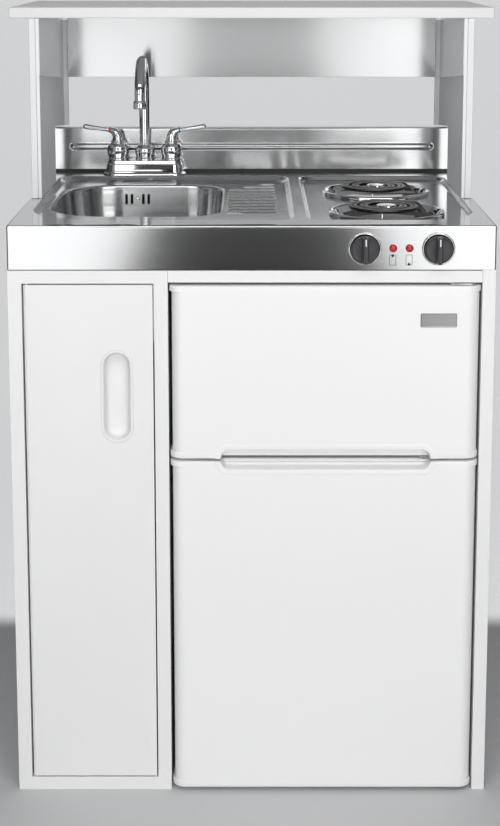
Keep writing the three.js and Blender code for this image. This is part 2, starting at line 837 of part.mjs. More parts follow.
function lever({ x, out }) {
  const route = curveThrough(
    LEVER_ROUTE.map(([offset, rise]) => [x + offset * out, TAP.y, heightOn(rise)]),
  );
  const radiusAt = (share) => {
    const next = Math.max(1, LEVER_RADII.findIndex(([place]) => place >= share - 1e-6));
    const [from, first] = LEVER_RADII[next - 1];
    const [to, last] = LEVER_RADII[next];
    return first + ((last - first) * (share - from)) / (to - from);
  };
  return taperedTube(route, radiusAt, 20, 10);
}

function spoutCollar() {
  const profile = [
    [10.4, 28.3],
    [17.5, 28.3],
    [17.5, 31],
    [16.2, 33],
    [18, 44],
    [16.6, 52],
    [13.6, 56],
    [10.4, 56.5],
    [10.4, 28.3],
  ];
  return turned(profile, 18, [TAP.x, TAP.y, WORKTOP_TOP]);
}

function spout() {
  const arch = SPOUT_REACH / 2;
  const centreZ = heightOn(SPOUT_TOP - SPOUT_RADIUS - arch);
  const bend = Array.from({ length: 13 }, (_, i) => {
    const angle = (i / 12) * Math.PI;
    return [TAP.x, TAP.y - arch + arch * Math.cos(angle), centreZ + arch * Math.sin(angle)];
  });
  const outlet = TAP.y - SPOUT_REACH;
  const route = curveThrough([
    [TAP.x, TAP.y, heightOn(28.3)],
    [TAP.x, TAP.y, heightOn(80)],
    [TAP.x, TAP.y, heightOn(120)],
    ...bend,
    [TAP.x, outlet, centreZ - 8],
  ]);
  const aerator = turned(
    [
      [0, 150],
      [9.9, 150],
      [12, 148],
      [12, 138],
      [10.6, 136],
      [8, 136],
      [8, 140],
      [0, 140],
    ].reverse(),
    16,
    [TAP.x, outlet, WORKTOP_TOP],
  );
  return join(tube(route, SPOUT_RADIUS, 25, 12), aerator);
}

function buildTap() {
  const fixed = assembly();
  place(fixed, "tap_base", tapBase(), chrome);
  place(fixed, "spout_collar", spoutCollar(), chrome);
  for (const valve of VALVES) {
    place(fixed, `${valve.side}_valve_body`, valveBody(valve.x), chrome);
    place(assembly(), `${valve.side}_lever`, lever(valve), chrome);
  }
  place(assembly(), "spout", spout(), chrome);
}

// ---- Hob ----
const BURNERS = Object.entries(BURNER_Y).map(([name, y]) => ({ name, y }));
const LEG_SLOT = { x: [-72, -48], y: [8, 60] };

// A solid made round a burner's middle with the legs along +Y, set in its place.
const onBurner = (solid, y) =>
  solid.rotate([0, 0, TERMINAL_TURN]).translate([BURNER_X, y, WORKTOP_TOP]);

// A rolled ring that stands on the hob panel, falling to a shallow bowl with a hole in its middle.
function dripBowl({ y }) {
  const seat = -DISH_DEPTH + GAP;
  const wall = 0.9;
  const upper = [
    [RING_RADIUS, seat],
    [RING_RADIUS - 0.4, -3.2],
    [RING_RADIUS - 3, -1],
    [RING_RADIUS - 6, -1],
    [RING_RADIUS - 10, -3.6],
    [70, -17.5],
    [48, -25],
    [22, -27],
  ];
  const lower = upper.slice(2).map(([radius, z]) => [radius - wall * 0.6, z - wall]);
  const profile = [...upper, ...lower.reverse(), [RING_RADIUS - 1.2, seat], upper[0]];
  const bowl = turned(profile, 28, [BURNER_X, y, WORKTOP_TOP]);
  return cut(bowl, onBurner(box(LEG_SLOT.x, LEG_SLOT.y, [-40, 8]), y));
}

// One sheathed tube: in along the outer line of a double spiral, round a tight bend at its heart
// and back out beside itself, both ends then running down to the terminals.
function coilRoute() {
  const { outer, pair, pitch, turns, height } = COIL;
  const perTurn = 24;
  const count = turns * perTurn;
  const onSpiral = (start, i) => {
    const angle = Math.PI + (i / perTurn) * TURN;
    const radius = start - (pitch * i) / perTurn;
    return [radius * Math.cos(angle), radius * Math.sin(angle), height];
  };
  const steps = Array.from({ length: count + 1 }, (_, i) => i);
  const inward = steps.map((i) => onSpiral(outer, i));
  const outward = steps.map((i) => onSpiral(outer - pair, i)).reverse();
  const heart = Math.PI + turns * TURN;
  const middle = outer - pitch * turns - pair / 2;
  const bend = [1, 2, 3].map((i) => {
    const angle = (i / 4) * Math.PI;
    const across = middle + (pair / 2) * Math.cos(angle);
    const along = (pair / 2) * Math.sin(angle);
    return [
      across * Math.cos(heart) - along * Math.sin(heart),
      across * Math.sin(heart) + along * Math.cos(heart),
      height,
    ];
  });
  const leg = (x) => [
    [x, 12, height - 1.2],
    [x, 24, height - 10],
    [x, 38, -LEG.drop + 8],
    [x, 54, -LEG.drop],
    [x, LEG.length, -LEG.drop],
  ];
  return [
    ...leg(-outer).reverse(),
    ...inward,
    ...bend,
    ...outward,
    ...leg(pair - outer),
  ];
}

// The least distance between stretches of the route that aren't neighbours, less the tube itself.
function leastGap(points, diameter, skipped) {
  let least = Infinity;
  points.forEach((a, i) => {
    points.slice(i + skipped).forEach((b) => {
      least = Math.min(least, Math.hypot(a[0] - b[0], a[1] - b[1], a[2] - b[2]));
    });
  });
  return least - diameter;
}

function coil({ y }) {
  const places = COIL_ROUTE.map((point) => new THREE.Vector3(...point));
  return onBurner(jointedTube(places, COIL.tube, 6), y);
}

const COIL_ROUTE = coilRoute();
const BEND_POINTS = 5;
const coilGap = leastGap(COIL_ROUTE, 2 * COIL.tube, BEND_POINTS);
console.log(`coil elements: least gap between turns ${coilGap.toFixed(2)} mm`);

// Three thin arms that rest on the drip bowl and carry the coil, with the medallion on a stem.
function coilSupport({ y }) {
  const top = COIL.height - COIL.tube - GAP;
  const arm = new THREE.Shape([
    new THREE.Vector2(0, -6.5),
    new THREE.Vector2(72, -6.5),
    new THREE.Vector2(84, -3.6),
    new THREE.Vector2(86, top),
    new THREE.Vector2(0, top),
  ]);
  const arms = [0, 1, 2].map((i) => {
    const settings = { depth: 1.6, bevelEnabled: false };
    const geometry = new THREE.ExtrudeGeometry(arm, settings);
    geometry.translate(0, 0, -0.8).applyMatrix4(PLANES.y);
    geometry.rotateZ(Math.PI / 2 + (i * TURN) / 3);
    return solidOf(geometry.translate(BURNER_X, y, WORKTOP_TOP));
  });
  const medallion = turned(
    [
      [0, -6.5],
      [6, -6.5],
      [6, 2],
      [10, 4.5],
      [17, 5],
      [17, 7],
      [14, 8],
      [0, 8.6],
    ],
    18,
    [BURNER_X, y, WORKTOP_TOP],
  );
  return join(medallion, ...arms);
}

// A moulded block with a mouth wide enough for the element to tilt.
function terminalBlock({ y }) {
  const body = box([-76, -47], [76, 105], [-LEG.drop - 9, -LEG.drop + 13]);
  const mouth = box([-72, -51], [75, 101], [-LEG.drop - 5.5, -LEG.drop + 10.5]);
  return onBurner(cut(body, mouth), y);
}

function knob(x) {
  const skirt = turned(
    [
      [0, 3.2],
      [KNOB.radius - 0.8, 3.2],
      [KNOB.radius, 5],
      [KNOB.radius, 11.5],
      [KNOB.radius - 2, 13.5],
      [0, 14],
    ],
    24,
    [x, 0, KNOB.z],
    "front",
  );
  const outline = {
    x: [x - 4.6, x + 4.6],
    y: [KNOB.z - KNOB.radius + 0.4, KNOB.z + KNOB.radius - 0.4],
    radii: evenRadii(4),
  };
  const bar = roundLoft(outline, [[1.4, -KNOB.reach], [0.4, -KNOB.reach + 1.6], [0, -12]], "y", 3);
  const shaft = rod("y", x, KNOB.z, 3, -5, 9.5, 12);
  return join(skirt, bar, shaft);
}

// A shallow dish with a rolled edge, which the knob sits in.
function knobBezel(x) {
  const profile = [
    [0, GAP],
    [25.8, GAP],
    [25.6, 2.6],
    [24.6, 4],
    [23.2, 4.2],
    [22.4, 1.6],
    [0, 1.6],
  ];
  return turned(profile, 24, [x, 0, KNOB.z], "front");
}

// The switch behind the fascia, its bush and the bezel that the bush holds.
function burnerSwitch(x) {
  const body = box([x - 18, x + 18], [SHEET + GAP, 34], [KNOB.z - 18, KNOB.z + 18]);
  const terminals = [-10, 0, 10].map((offset) =>
    box([x + offset - 3, x + offset + 3], [33, 42], [KNOB.z - 9, KNOB.z - 8]),
  );
  const bush = rod("y", x, KNOB.z, BUSH, -1, 3, 20);
  return cut(join(body, bush, knobBezel(x), ...terminals), rod("y", x, KNOB.z, 3.7, -5, 12, 12));
}

function pilotLamp(x) {
  const { radius, z } = LAMP;
  const profile = [
    [0, -14],
    [3.6, -14],
    [3.6, GAP],
    [radius, GAP],
    [radius, 1.6],
    [radius * 0.86, 3.6],
    [radius * 0.5, 5.4],
    [0, 6],
  ];
  return turned(profile, 12, [x, 0, z], "front");
}

function buildHob() {
  const fixed = assembly();
  for (const burner of BURNERS) {
    const element = assembly();
    place(fixed, `${burner.name}_drip_bowl`, dripBowl(burner), chrome);
    place(fixed, `${burner.name}_terminal_block`, terminalBlock(burner), blackPlastic);
    place(element, `${burner.name}_coil`, coil(burner), coilSheath);
    place(element, `${burner.name}_coil_support`, coilSupport(burner), chrome);
  }
  for (const side of ["left", "right"]) {
    place(fixed, `${side}_burner_switch`, burnerSwitch(KNOB.x[side]), greyPlastic);
    place(fixed, `${side}_pilot_lamp`, pilotLamp(LAMP.x[side]), redLens);
    place(assembly(), `${side}_knob`, knob(KNOB.x[side]), blackPlastic);
  }
}

// ---- Refrigerator ----
const PIN_X = FRIDGE_DOOR_SHEET[1] - FRIDGE_DOOR.radius;
const PIN_Y = FRIDGE_DOOR.front + FRIDGE_DOOR.radius;
const GASKET = { left: FRIDGE.x[0] + 12, right: PIN_X - 4, inset: 10, bar: 16 };

function fridgeCabinet() {
  const { x, y, z } = FRIDGE;
  const inner = [x[0] + WALL, x[1] - WALL];
  const body = box(x, y, z);
  const freezer = roundLoft(
    { x: inner, y: [y[0] - 10, FREEZER_SPACE.rear], radii: evenRadii(12) },
    FREEZER_SPACE.z.map((level) => [0, level]),
    "z",
    3,
  );
  const food = box(inner, [y[0] - 10, FOOD_SPACE.rear], FOOD_SPACE.z);
  const foot = box(inner, [y[0] - 10, FOOD_STEP.rear], [FOOD_STEP.z[0], FOOD_STEP.z[1] + 1]);
  const bay = box(
    [x[0] + 14, x[1] - 14],
    [COMPRESSOR_BAY.front, y[1] + 1],
    [COMPRESSOR_BAY.floor, COMPRESSOR_BAY.top],
  );
  const feet = [x[0] + 30, x[1] - 30].flatMap((footX) =>
    [y[0] + 90, y[1] - 40].map((footY) => rod("z", footX, footY, 13, 0, z[0] + 1, 10)),
  );
  return join(cut(body, freezer, food, foot, bay), ...feet);
}

// One section rounded about the hinge pin, a little wider in the caps at both ends.
function doorSection([left, right]) {
  const { front, rear, radius } = FRIDGE_DOOR;
  const rightRadius = right - PIN_X;
  const shape = new THREE.Shape();
  shape.moveTo(left, rear);
  shape.lineTo(left, front + radius);
  shape.absarc(left + radius, front + radius, radius, Math.PI, 1.5 * Math.PI, false);
  shape.lineTo(PIN_X, front);
  shape.absellipse(PIN_X, PIN_Y, rightRadius, radius, -Math.PI / 2, 0, false, 0);
  shape.lineTo(right, rear);
  return shape;
}

function fridgeDoorBody([bottom, top]) {
  const cap = FRIDGE_DOOR.cap;
  const sheet = extrude(doorSection(FRIDGE_DOOR_SHEET), "z", bottom + 1, top - 1, 4);
  const lower = extrude(doorSection(FRIDGE_DOOR_CAP), "z", bottom, bottom + cap, 4);
  const upper = extrude(doorSection(FRIDGE_DOOR_CAP), "z", top - cap, top, 4);
  return join(sheet, lower, upper);
}

function gripSpace() {
  const { front } = FRIDGE_DOOR;
  const outline = { x: GRIP.x, y: GRIP.z, radii: evenRadii(GRIP.radius) };
  const levels = [[0, front - 2], [0, front + 3], [3, front + GRIP.depth]];
  return roundLoft(outline, levels, "y", 4);
}

function pinHole(from, to) {
  return rod("z", PIN_X, PIN_Y, HINGE_PIN + 0.6, from, to, 12);
}

function freezerDoor() {
  const [bottom, top] = FREEZER_DOOR_Z;
  const body = fridgeDoorBody(FREEZER_DOOR_Z);
  return cut(body, gripSpace(), pinHole(bottom - 1, bottom + 18), pinHole(top - 18, top + 1));
}

// The lower door's bottom corners are rounded off.
function lowerDoor() {
  const [bottom, top] = LOWER_DOOR_Z;
  const [left, right] = FRIDGE_DOOR_CAP;
  const outline = { x: [left, right], y: [bottom, top], radii: [14, 14, 1, 1] };
  const span = [FRIDGE_DOOR.front - 1, FRIDGE_DOOR.rear + 1];
  const face = roundLoft(outline, span.map((level) => [0, level]), "y", 3);
  const body = fridgeDoorBody(LOWER_DOOR_Z).intersect(face);
  return cut(body, gripSpace(), pinHole(bottom - 1, bottom + 18), pinHole(top - 18, top + 1));
}

// A frame of soft section between a door and the cabinet front.
function doorGasket([bottom, top]) {
  const { left, right, inset, bar } = GASKET;
  const outline = rectangle(left, bottom + inset, right, top - inset);
  const hole = [left + bar, bottom + inset + bar, right - bar, top - inset - bar];
  outline.holes.push(rectangle(...hole));
  return extrude(outline, "y", FRIDGE_DOOR.rear + GAP, FRIDGE.y[0] - GAP);
}

// The lower door's inner panel, moulded in one with two bottle racks that swing clear of the
// food space's walls.
function doorRacks() {
  const { left, right, inset, bar } = GASKET;
  const margin = inset + bar + 2;
  const front = FRIDGE_DOOR.rear + GAP;
  const [bottom, top] = LOWER_DOOR_Z;
  const panel = box(
    [left + bar + 2, right - bar - 2],
    [front, front + RACK.wall],
    [bottom + margin, top - margin],
  );
  const tray = (level, offset) => {
    const radii = [1, 1, RACK.corner, RACK.corner];
    const outline = { x: RACK.x, y: [front + 1, RACK.rear], radii };
    const low = level + offset;
    const high = level + RACK.height + (offset ? 1 : 0);
    return roundLoft(outline, [[offset + 3, low], [offset, low + 4], [offset, high]], "z", 3);
  };
  const trays = RACK.levels.map((level) => tray(level, 0));
  return cut(join(panel, ...trays), ...RACK.levels.map((level) => tray(level, RACK.wall)));
}

// A flat bracket that reaches forward from the cabinet to a pin in the door's end.
function bracket(level, thickness, seat) {
  const plate = {
    x: [PIN_X - 30, PIN_X + 14],
    y: [PIN_Y - 14, 110],
    radii: evenRadii(9),
  };
  const leaf = roundLoft(plate, [[0, level], [0, level + thickness]], "z", 4);
  return seat ? join(leaf, box([PIN_X - 30, PIN_X + 14], [70, 110], seat)) : leaf;
}

const pinRod = (from, to) => rod("z", PIN_X, PIN_Y, HINGE_PIN, from, to, 12);

function topHinge() {
  const low = FREEZER_DOOR_Z[1] + 0.6;
  const plate = bracket(low, 3, [FRIDGE.z[1] + GAP, low + 1]);
  return join(plate, pinRod(low - 15, low + 1));
}

// The plate between the doors is screwed to the cabinet front and carries a pin each way.
function middleHinge() {
  const low = LOWER_DOOR_Z[1] + 0.8;
  const rear = FRIDGE.y[0] - GAP;
  const plate = {
    x: [PIN_X - 70, PIN_X + 10],
    y: [PIN_Y - 10, rear],
    radii: evenRadii(5),
  };
  const leaf = roundLoft(plate, [[0, low], [0, low + 3]], "z", 3);
  return join(leaf, pinRod(low - 14, low + 17));
}

function bottomHinge() {
  const low = LOWER_DOOR_Z[0] - 3.6;
  const plate = bracket(low, 3, [low + 2, FRIDGE.z[0] - GAP]);
  return join(plate, pinRod(low + 1, low + 17));
}

function compressor() {
  const profile = [
    [0, 0],
    [52, 0],
    [52, 6],
    [66, 14],
    [66, 62],
    [64, 70],
    [64, 104],
    [50, 124],
    [24, 134],
    [0, 136],
  ];
  const pot = turned(profile, 18, [200, 525, COMPRESSOR_BAY.floor + GAP]);
  const plate = box([100, 300], [470, 580], [COMPRESSOR_BAY.floor + GAP, 24]);
  return join(pot, plate);
}

function fridgeShelf() {
  const x = [FRIDGE.x[0] + WALL + GAP, FRIDGE.x[1] - WALL - GAP];
  return box(x, [FRIDGE.y[0] + 14, FOOD_SPACE.rear - 4], [370, 376]);
}

const THERMOSTAT = { y: 150, z: 490, wall: FRIDGE.x[1] - WALL - GAP, depth: 26 };

function thermostatHousing() {
  const { y, z, wall, depth } = THERMOSTAT;
  const outline = { x: [y - 45, y + 75], y: [z - 32, z + 32], radii: evenRadii(9) };
  const levels = [[4, wall - depth], [0, wall - depth + 6], [0, wall]];
  const spindle = rod("x", y, z, 4.5, wall - depth - 1, wall - depth + 12, 12);
  return cut(roundLoft(outline, levels, "x", 3), spindle);
}

function thermostatDial() {
  const { y, z, wall, depth } = THERMOSTAT;
  const face = wall - depth - GAP;
  const disc = rod("x", y, z, 17, face - 9, face, 24);
  const grip = box([face - 16, face - 8], [y - 3, y + 3], [z - 15, z + 15]);
  return join(disc, grip, rod("x", y, z, 3.8, face - 1, face + 10, 10));
}

function buildRefrigerator() {
  const fixed = assembly();
  place(fixed, "fridge_cabinet", fridgeCabinet(), whiteSteel);
  place(fixed, "top_hinge", topHinge(), zincSteel);
  place(fixed, "middle_hinge", middleHinge(), zincSteel);
  place(fixed, "bottom_hinge", bottomHinge(), zincSteel);
  place(fixed, "compressor", compressor(), compressorBlack);
  place(fixed, "fridge_shelf", fridgeShelf(), glassClear);
  place(fixed, "thermostat_housing", thermostatHousing(), whitePlastic);
  place(assembly(), "thermostat_dial", thermostatDial(), greyPlastic);
  const freezer = assembly();
  place(freezer, "freezer_door", freezerDoor(), whiteSteel);
  place(freezer, "freezer_gasket", doorGasket(FREEZER_DOOR_Z), gasketRubber);
  const lower = assembly();
  place(lower, "fridge_door", lowerDoor(), whiteSteel);
  place(lower, "fridge_gasket", doorGasket(LOWER_DOOR_Z), gasketRubber);
  place(lower, "door_racks", doorRacks(), whitePlastic);
}

// ---- Shelf unit ----
const SHELF_BOTTOM = UNIT_HEIGHT - SHELF_THICKNESS;

// A side that stands on the worktop's border and is notched to pass over the backsplash.
function sideOutline(bottom, top, front, rear) {
  const notch = WORKTOP_TOP + BOARD_NOTCH.height;
  const points = [
    [front, bottom],
    [BOARD_NOTCH.front, bottom],
    [BOARD_NOTCH.front, notch],
    [rear, notch],
    [rear, top],
    [front, top],
  ];
  return new THREE.Shape(points.map(([u, v]) => new THREE.Vector2(u, v)));
}

function sideBoard(sign) {
  const shape = sideOutline(WORKTOP_TOP + GAP, SHELF_BOTTOM - GAP, BOARD_FRONT, DEPTH);
  const span = [sign * BOARD_OUTER, sign * (BOARD_OUTER - BOARD)].sort((a, b) => a - b);
  return extrude(shape, "x", ...span);
}

const LINER_OUTER = BOARD_OUTER - BOARD - GAP;
const LINER_TOP = SHELF_BOTTOM - 18;

// A thin inner lining with a return at the back that the stainless panel meets, and a corner
// connector that reaches from it to the shelf.
function sideLiner(sign) {
  const bottom = WORKTOP_TOP + GAP;
  const shape = sideOutline(bottom, LINER_TOP, BOARD_FRONT + GAP, SIDE_REAR);
  const spanOf = (width) =>
    [sign * LINER_OUTER, sign * (LINER_OUTER - width)].sort((a, b) => a - b);
  const flange = box(
    spanOf(LINER_REAR_FLANGE),
    [SIDE_REAR - 6, SIDE_REAR],
    [WORKTOP_TOP + BOARD_NOTCH.height, LINER_TOP],
  );
  const connector = box(
    spanOf(LINER),
    [BOARD_FRONT + GAP, BOARD_FRONT + 46],
    [LINER_TOP - 1, SHELF_BOTTOM - GAP],
  );
  return join(extrude(shape, "x", ...spanOf(LINER)), flange, connector);
}

function shelfBackPanel() {
  const top = SHELF_BOTTOM - GAP;
  const line = [
    [SIDE_REAR, top],
    [SIDE_REAR - 10, top],
    [SIDE_REAR - 10, BACK_PANEL_BOTTOM],
    [SIDE_REAR, BACK_PANEL_BOTTOM],
  ];
  const half = LINER_OUTER - LINER_REAR_FLANGE - GAP;
  return extrude(folded(line), "x", -half, half);
}

function topShelf() {
  const half = SHELF_WIDTH / 2;
  const outline = { x: [-half, half], y: [BOARD_FRONT, DEPTH], radii: evenRadii(2) };
  return roundLoft(
    outline,
    [[1, SHELF_BOTTOM], [0, SHELF_BOTTOM + 1], [0, UNIT_HEIGHT - 1], [1, UNIT_HEIGHT]],
    "z",
    2,
  );
}

function buildShelfUnit() {
  const shelf = assembly();
  for (const [side, sign] of [["left", -1], ["right", 1]]) {
    place(shelf, `${side}_side_board`, sideBoard(sign), whiteSteel);
    place(shelf, `${side}_side_liner`, sideLiner(sign), greyPlastic);
  }
  place(shelf, "shelf_back_panel", shelfBackPanel(), brushedSteel);
  place(shelf, "top_shelf", topShelf(), whiteSteel);
}

buildCabinet();
buildSinkDoor();
buildWorktop();
buildTap();
buildHob();
buildRefrigerator();
buildShelfUnit();

export default kitchenette;
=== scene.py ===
"""The looks of a kitchenette unit with a sink and a hob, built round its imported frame.

Places are in millimetres in the unit's own axes: X across it from its middle, Y back from the
plane of the cabinet fronts and Z up from the floor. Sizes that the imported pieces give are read
from the frame.
"""

import json
import logging
import math
from dataclasses import dataclass
from enum import Enum

import bmesh
import bpy
import numpy as np
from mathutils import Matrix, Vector
from mathutils.geometry import tessellate_polygon


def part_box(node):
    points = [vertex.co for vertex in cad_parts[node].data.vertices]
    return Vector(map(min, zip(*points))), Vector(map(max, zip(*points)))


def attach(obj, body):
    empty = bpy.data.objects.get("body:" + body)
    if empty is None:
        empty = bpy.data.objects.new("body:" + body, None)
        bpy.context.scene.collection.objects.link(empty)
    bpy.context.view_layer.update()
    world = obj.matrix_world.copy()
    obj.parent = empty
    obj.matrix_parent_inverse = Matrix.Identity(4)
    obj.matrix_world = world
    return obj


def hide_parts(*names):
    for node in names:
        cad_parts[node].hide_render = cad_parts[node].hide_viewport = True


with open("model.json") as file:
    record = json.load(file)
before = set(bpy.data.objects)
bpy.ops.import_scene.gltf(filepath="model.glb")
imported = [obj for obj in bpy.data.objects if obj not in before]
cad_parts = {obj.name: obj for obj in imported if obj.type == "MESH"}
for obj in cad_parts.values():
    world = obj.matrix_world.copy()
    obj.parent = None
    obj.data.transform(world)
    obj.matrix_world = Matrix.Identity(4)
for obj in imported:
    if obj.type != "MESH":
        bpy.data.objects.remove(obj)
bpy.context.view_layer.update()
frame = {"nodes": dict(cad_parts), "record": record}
LOG = logging.getLogger("kitchenette")

Array = np.ndarray
Rect = tuple[float, float, float, float]
Triple = tuple[float, float, float]
Pair = tuple[float, float]
Row = tuple[float, ...]
Steps = tuple[int, int, int, int]
Profile = Array | list[Pair]
Inputs = dict[str | int, object]
Object, Mesh, Material = bpy.types.Object, bpy.types.Mesh, bpy.types.Material
Tree, Node, Socket = bpy.types.NodeTree, bpy.types.Node, bpy.types.NodeSocket

MM = 0.001
WELD = 2e-6
FRONT_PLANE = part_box("worktop")[0].y / MM
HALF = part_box("worktop")[1].x / MM
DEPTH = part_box("worktop")[1].y / MM - FRONT_PLANE
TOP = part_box("worktop")[1].z / MM
SHEET = 1.5
TURN = 2 * math.pi
QUARTER = math.pi / 2
SINGLE = (1, 1, 1, 1)

# The notch in the shelf's sides: its front, its height there and at the rear, and the rear.
NOTCH_FRONT = 486.0
NOTCH_HIGH = TOP + 103.0
NOTCH_LOW = 1026.5
SIDE_REAR = DEPTH - 5.0

# The bend in degrees from which an edge is sharp, and the directions that maps and tubes use.
SHARP = 35.0
RIGHT, BACK, UP, TO_USER = (1, 0, 0), (0, 1, 0), (0, 0, 1), (0, -1, 0)
ALONG_TOP = ((1, 0.001, 0), (0, 1, -1))
LAY_MAP = "lay"

# What the finishes share: the span of noise that sets the roughness, the stops of their colours,
# the gloss of a clear coat, and the quarter turn that draws the gloss out across the brushing.
NOISE_SPAN = (0.25, 0.75)
RAMP_STOPS = (0.3, 0.7)
COAT_ROUGHNESS = 0.05
ACROSS = 0.25


# ---- Lines and surfaces ----
def spline(points: list[Row], steps: int) -> Array:
    """A smooth line through points: each stretch is the centripetal Catmull-Rom cubic.

    Three rounds of mixing by time lead from four lines to one: (tj − u) a + (u − ti) b over tj − ti.

    Args:
        points: the places that the line passes.
        steps: how many steps each stretch gets.

    Returns:
        The places along the line, one row each.
    """
    p = np.array(points, float)
    p = np.vstack([2 * p[0] - p[1], p, 2 * p[-1] - p[-2]])
    t = np.concatenate([[0], np.cumsum(np.sqrt(np.linalg.norm(np.diff(p, axis=0), axis=1)))])
    times = [t[i : len(t) - 3 + i, None, None] for i in range(4)]
    lines = [p[i : len(p) - 3 + i, None, :] for i in range(4)]
    u = times[1] + (times[2] - times[1]) * np.linspace(0, 1, steps, endpoint=False)[None, :, None]
    for spans in (((0, 1), (1, 2), (2, 3)), ((0, 2), (1, 3)), ((1, 2),)):
        lines = [
            (times[j] - u) / (times[j] - times[i]) * a + (u - times[i]) / (times[j] - times[i]) * b
            for (i, j), a, b in zip(spans, lines, lines[1:])
        ]
    return np.vstack([lines[0].reshape(-1, p.shape[1]), p[-2]])


def rounded_loop(
    rect: Rect, radii: float | Row, inset: float = 0.0, corner: int = 8,
    sides: Steps = SINGLE,
) -> Array:
    """Points round a rectangle with rounded corners, anticlockwise from its low-low corner.

    A corner is centre + r (cos a, sin a) over a quarter turn, and a side is straight.

    Args:
        rect: low and high on the first axis, then on the second.
        radii: one corner radius, or those at low-low, high-low, high-high and low-high.
        inset: how far the line is drawn in, which takes as much from each radius.
        corner: steps in a corner.
        sides: steps along the sides, each after the corner with the same number.

    Returns:
        One row of two numbers for each point.
    """
    u0, u1, v0, v1 = rect[0] + inset, rect[1] - inset, rect[2] + inset, rect[3] - inset
    r = np.maximum(np.broadcast_to(radii, 4) - inset, 0.0)
    inward = np.array([[1, 1], [-1, 1], [-1, -1], [1, -1]])
    centres = np.array([[u0, v0], [u1, v0], [u1, v1], [u0, v1]]) + r[:, None] * inward
    a = math.pi * (1 + np.arange(4)[:, None] / 2) + np.linspace(0, QUARTER, corner + 1)
    spokes = np.stack([np.cos(a), np.sin(a)], axis=-1)
    arcs = centres[:, None, :] + r[:, None, None] * spokes
    parts = []
    for k in range(4):
        share = np.linspace(0, 1, sides[k] + 1)[1:-1, None]
        start, end = arcs[k, -1], arcs[(k + 1) % 4, 0]
        parts += [arcs[k], start + (end - start) * share]
    return np.vstack(parts)


def columns(*parts: Array) -> Array:
    """Parts set side by side as the columns of one table."""
    return np.column_stack(parts)


def unit(angle: Array) -> Array:
    """Places on the unit circle at some angles."""
    return columns(np.cos(angle), np.sin(angle))


def between(start: Array, end: Array, steps: int) -> Array:
    """Straight lines from each place of one loop to the same place of another."""
    return start + (end - start) * np.linspace(0, 1, steps + 1)[:, None, None]


def at_side(line: Array, x: float) -> Array:
    """A line of Y and Z set at a place across."""
    return columns(np.full(len(line), x), line)


def at_height(loop: Array, z: float | Array) -> Array:
    """A flat loop lifted to a height."""
    return columns(loop, np.broadcast_to(z, len(loop)))


def upright(loop: Array, y: float | Array) -> Array:
    """A loop of X and Z set at a depth."""
    return columns(loop[:, 0], np.broadcast_to(y, len(loop)), loop[:, 1])


def carried(
    rect: Rect, radii: float | Row, profile: Profile, corner: int = 8,
    sides: Steps = SINGLE, stand: bool = False,
) -> Array:
    """A profile of inset and level carried round a rounded rectangle.

    Args:
        rect: the rectangle.
        radii: its corner radius, or all four.
        profile: rows of inset and level.
        corner: steps in a corner.
        sides: steps along each side.
        stand: True where the rectangle stands in X and Z, and the level is Y.

    Returns:
        The grid, one row for each place of the profile.
    """
    lift = upright if stand else at_height
    rows = [lift(rounded_loop(rect, radii, i, corner, sides), level) for i, level in profile]
    return np.stack(rows)


def revolved(profile: Profile, centre: Triple, steps: int, front: bool = False) -> Array:
    """A profile of radius and height turned round an axis: r cos a across and r sin a up it.

    Args:
        profile: rows of radius and height.
        centre: where the axis starts.
        steps: steps in the turn.
        front: True for an axis that points to the user, False for one that points up.

    Returns:
        The grid, one row for each place of the profile.
    """
    a = np.linspace(0, TURN, steps, endpoint=False)
    r, h = np.array(profile, float).T[:, :, None]
    x, y = r * np.cos(a), r * np.sin(a)
    level = np.broadcast_to(h, x.shape)
    points = np.stack([x, -level, y] if front else [x, y, level], axis=-1)
    return points + np.array(centre)


def turned(x: Array, y: Array, degrees: float) -> tuple[Array, Array]:
    """Places turned about the middle: x cos a − y sin a, and x sin a + y cos a."""
    c, s = math.cos(math.radians(degrees)), math.sin(math.radians(degrees))
    return x * c - y * s, x * s + y * c


def tube(path: Array, radius: float | Array, up: Triple, sides: int = 16, flat: float = 1.0) -> Array:
    """A round tube along a path: centre + r (cos a across + sin a over).

    Args:
        path: the centre line.
        radius: the radius, or one for each place.
        up: a direction that the path never takes.
        sides: steps round the tube.
        flat: the share of the radius at which the tube is pressed flat on top.

    Returns:
        The grid with a closed end at both ends, one row for each ring.
    """
    along = np.gradient(path, axis=0)
    across = np.cross(along, np.array(up))
    across /= np.linalg.norm(across, axis=1, keepdims=True)
    over = np.cross(across, along)
    over /= np.linalg.norm(over, axis=1, keepdims=True)
    a = np.linspace(0, TURN, sides, endpoint=False)[None, :, None]
    r = np.broadcast_to(radius, len(path))[:, None, None]
    spokes = np.cos(a) * across[:, None] + np.minimum(np.sin(a), flat) * over[:, None]
    rings = path[:, None] + r * spokes
    ends = [np.broadcast_to(path[i], (1, sides, 3)) for i in (0, -1)]
    return np.concatenate([ends[0], rings, ends[1]])


def capsule_rise(u: Array, v: Array, span: Pair, radius: float, proud: float) -> Array:
    """Height of a pressed round-ended rib: proud × cos²(πd / 2r) within r of its middle line."""
    d = np.hypot(u - np.clip(u, *span), v)
    return proud * np.cos(np.clip(d / radius, 0, 1) * math.pi / 2) ** 2


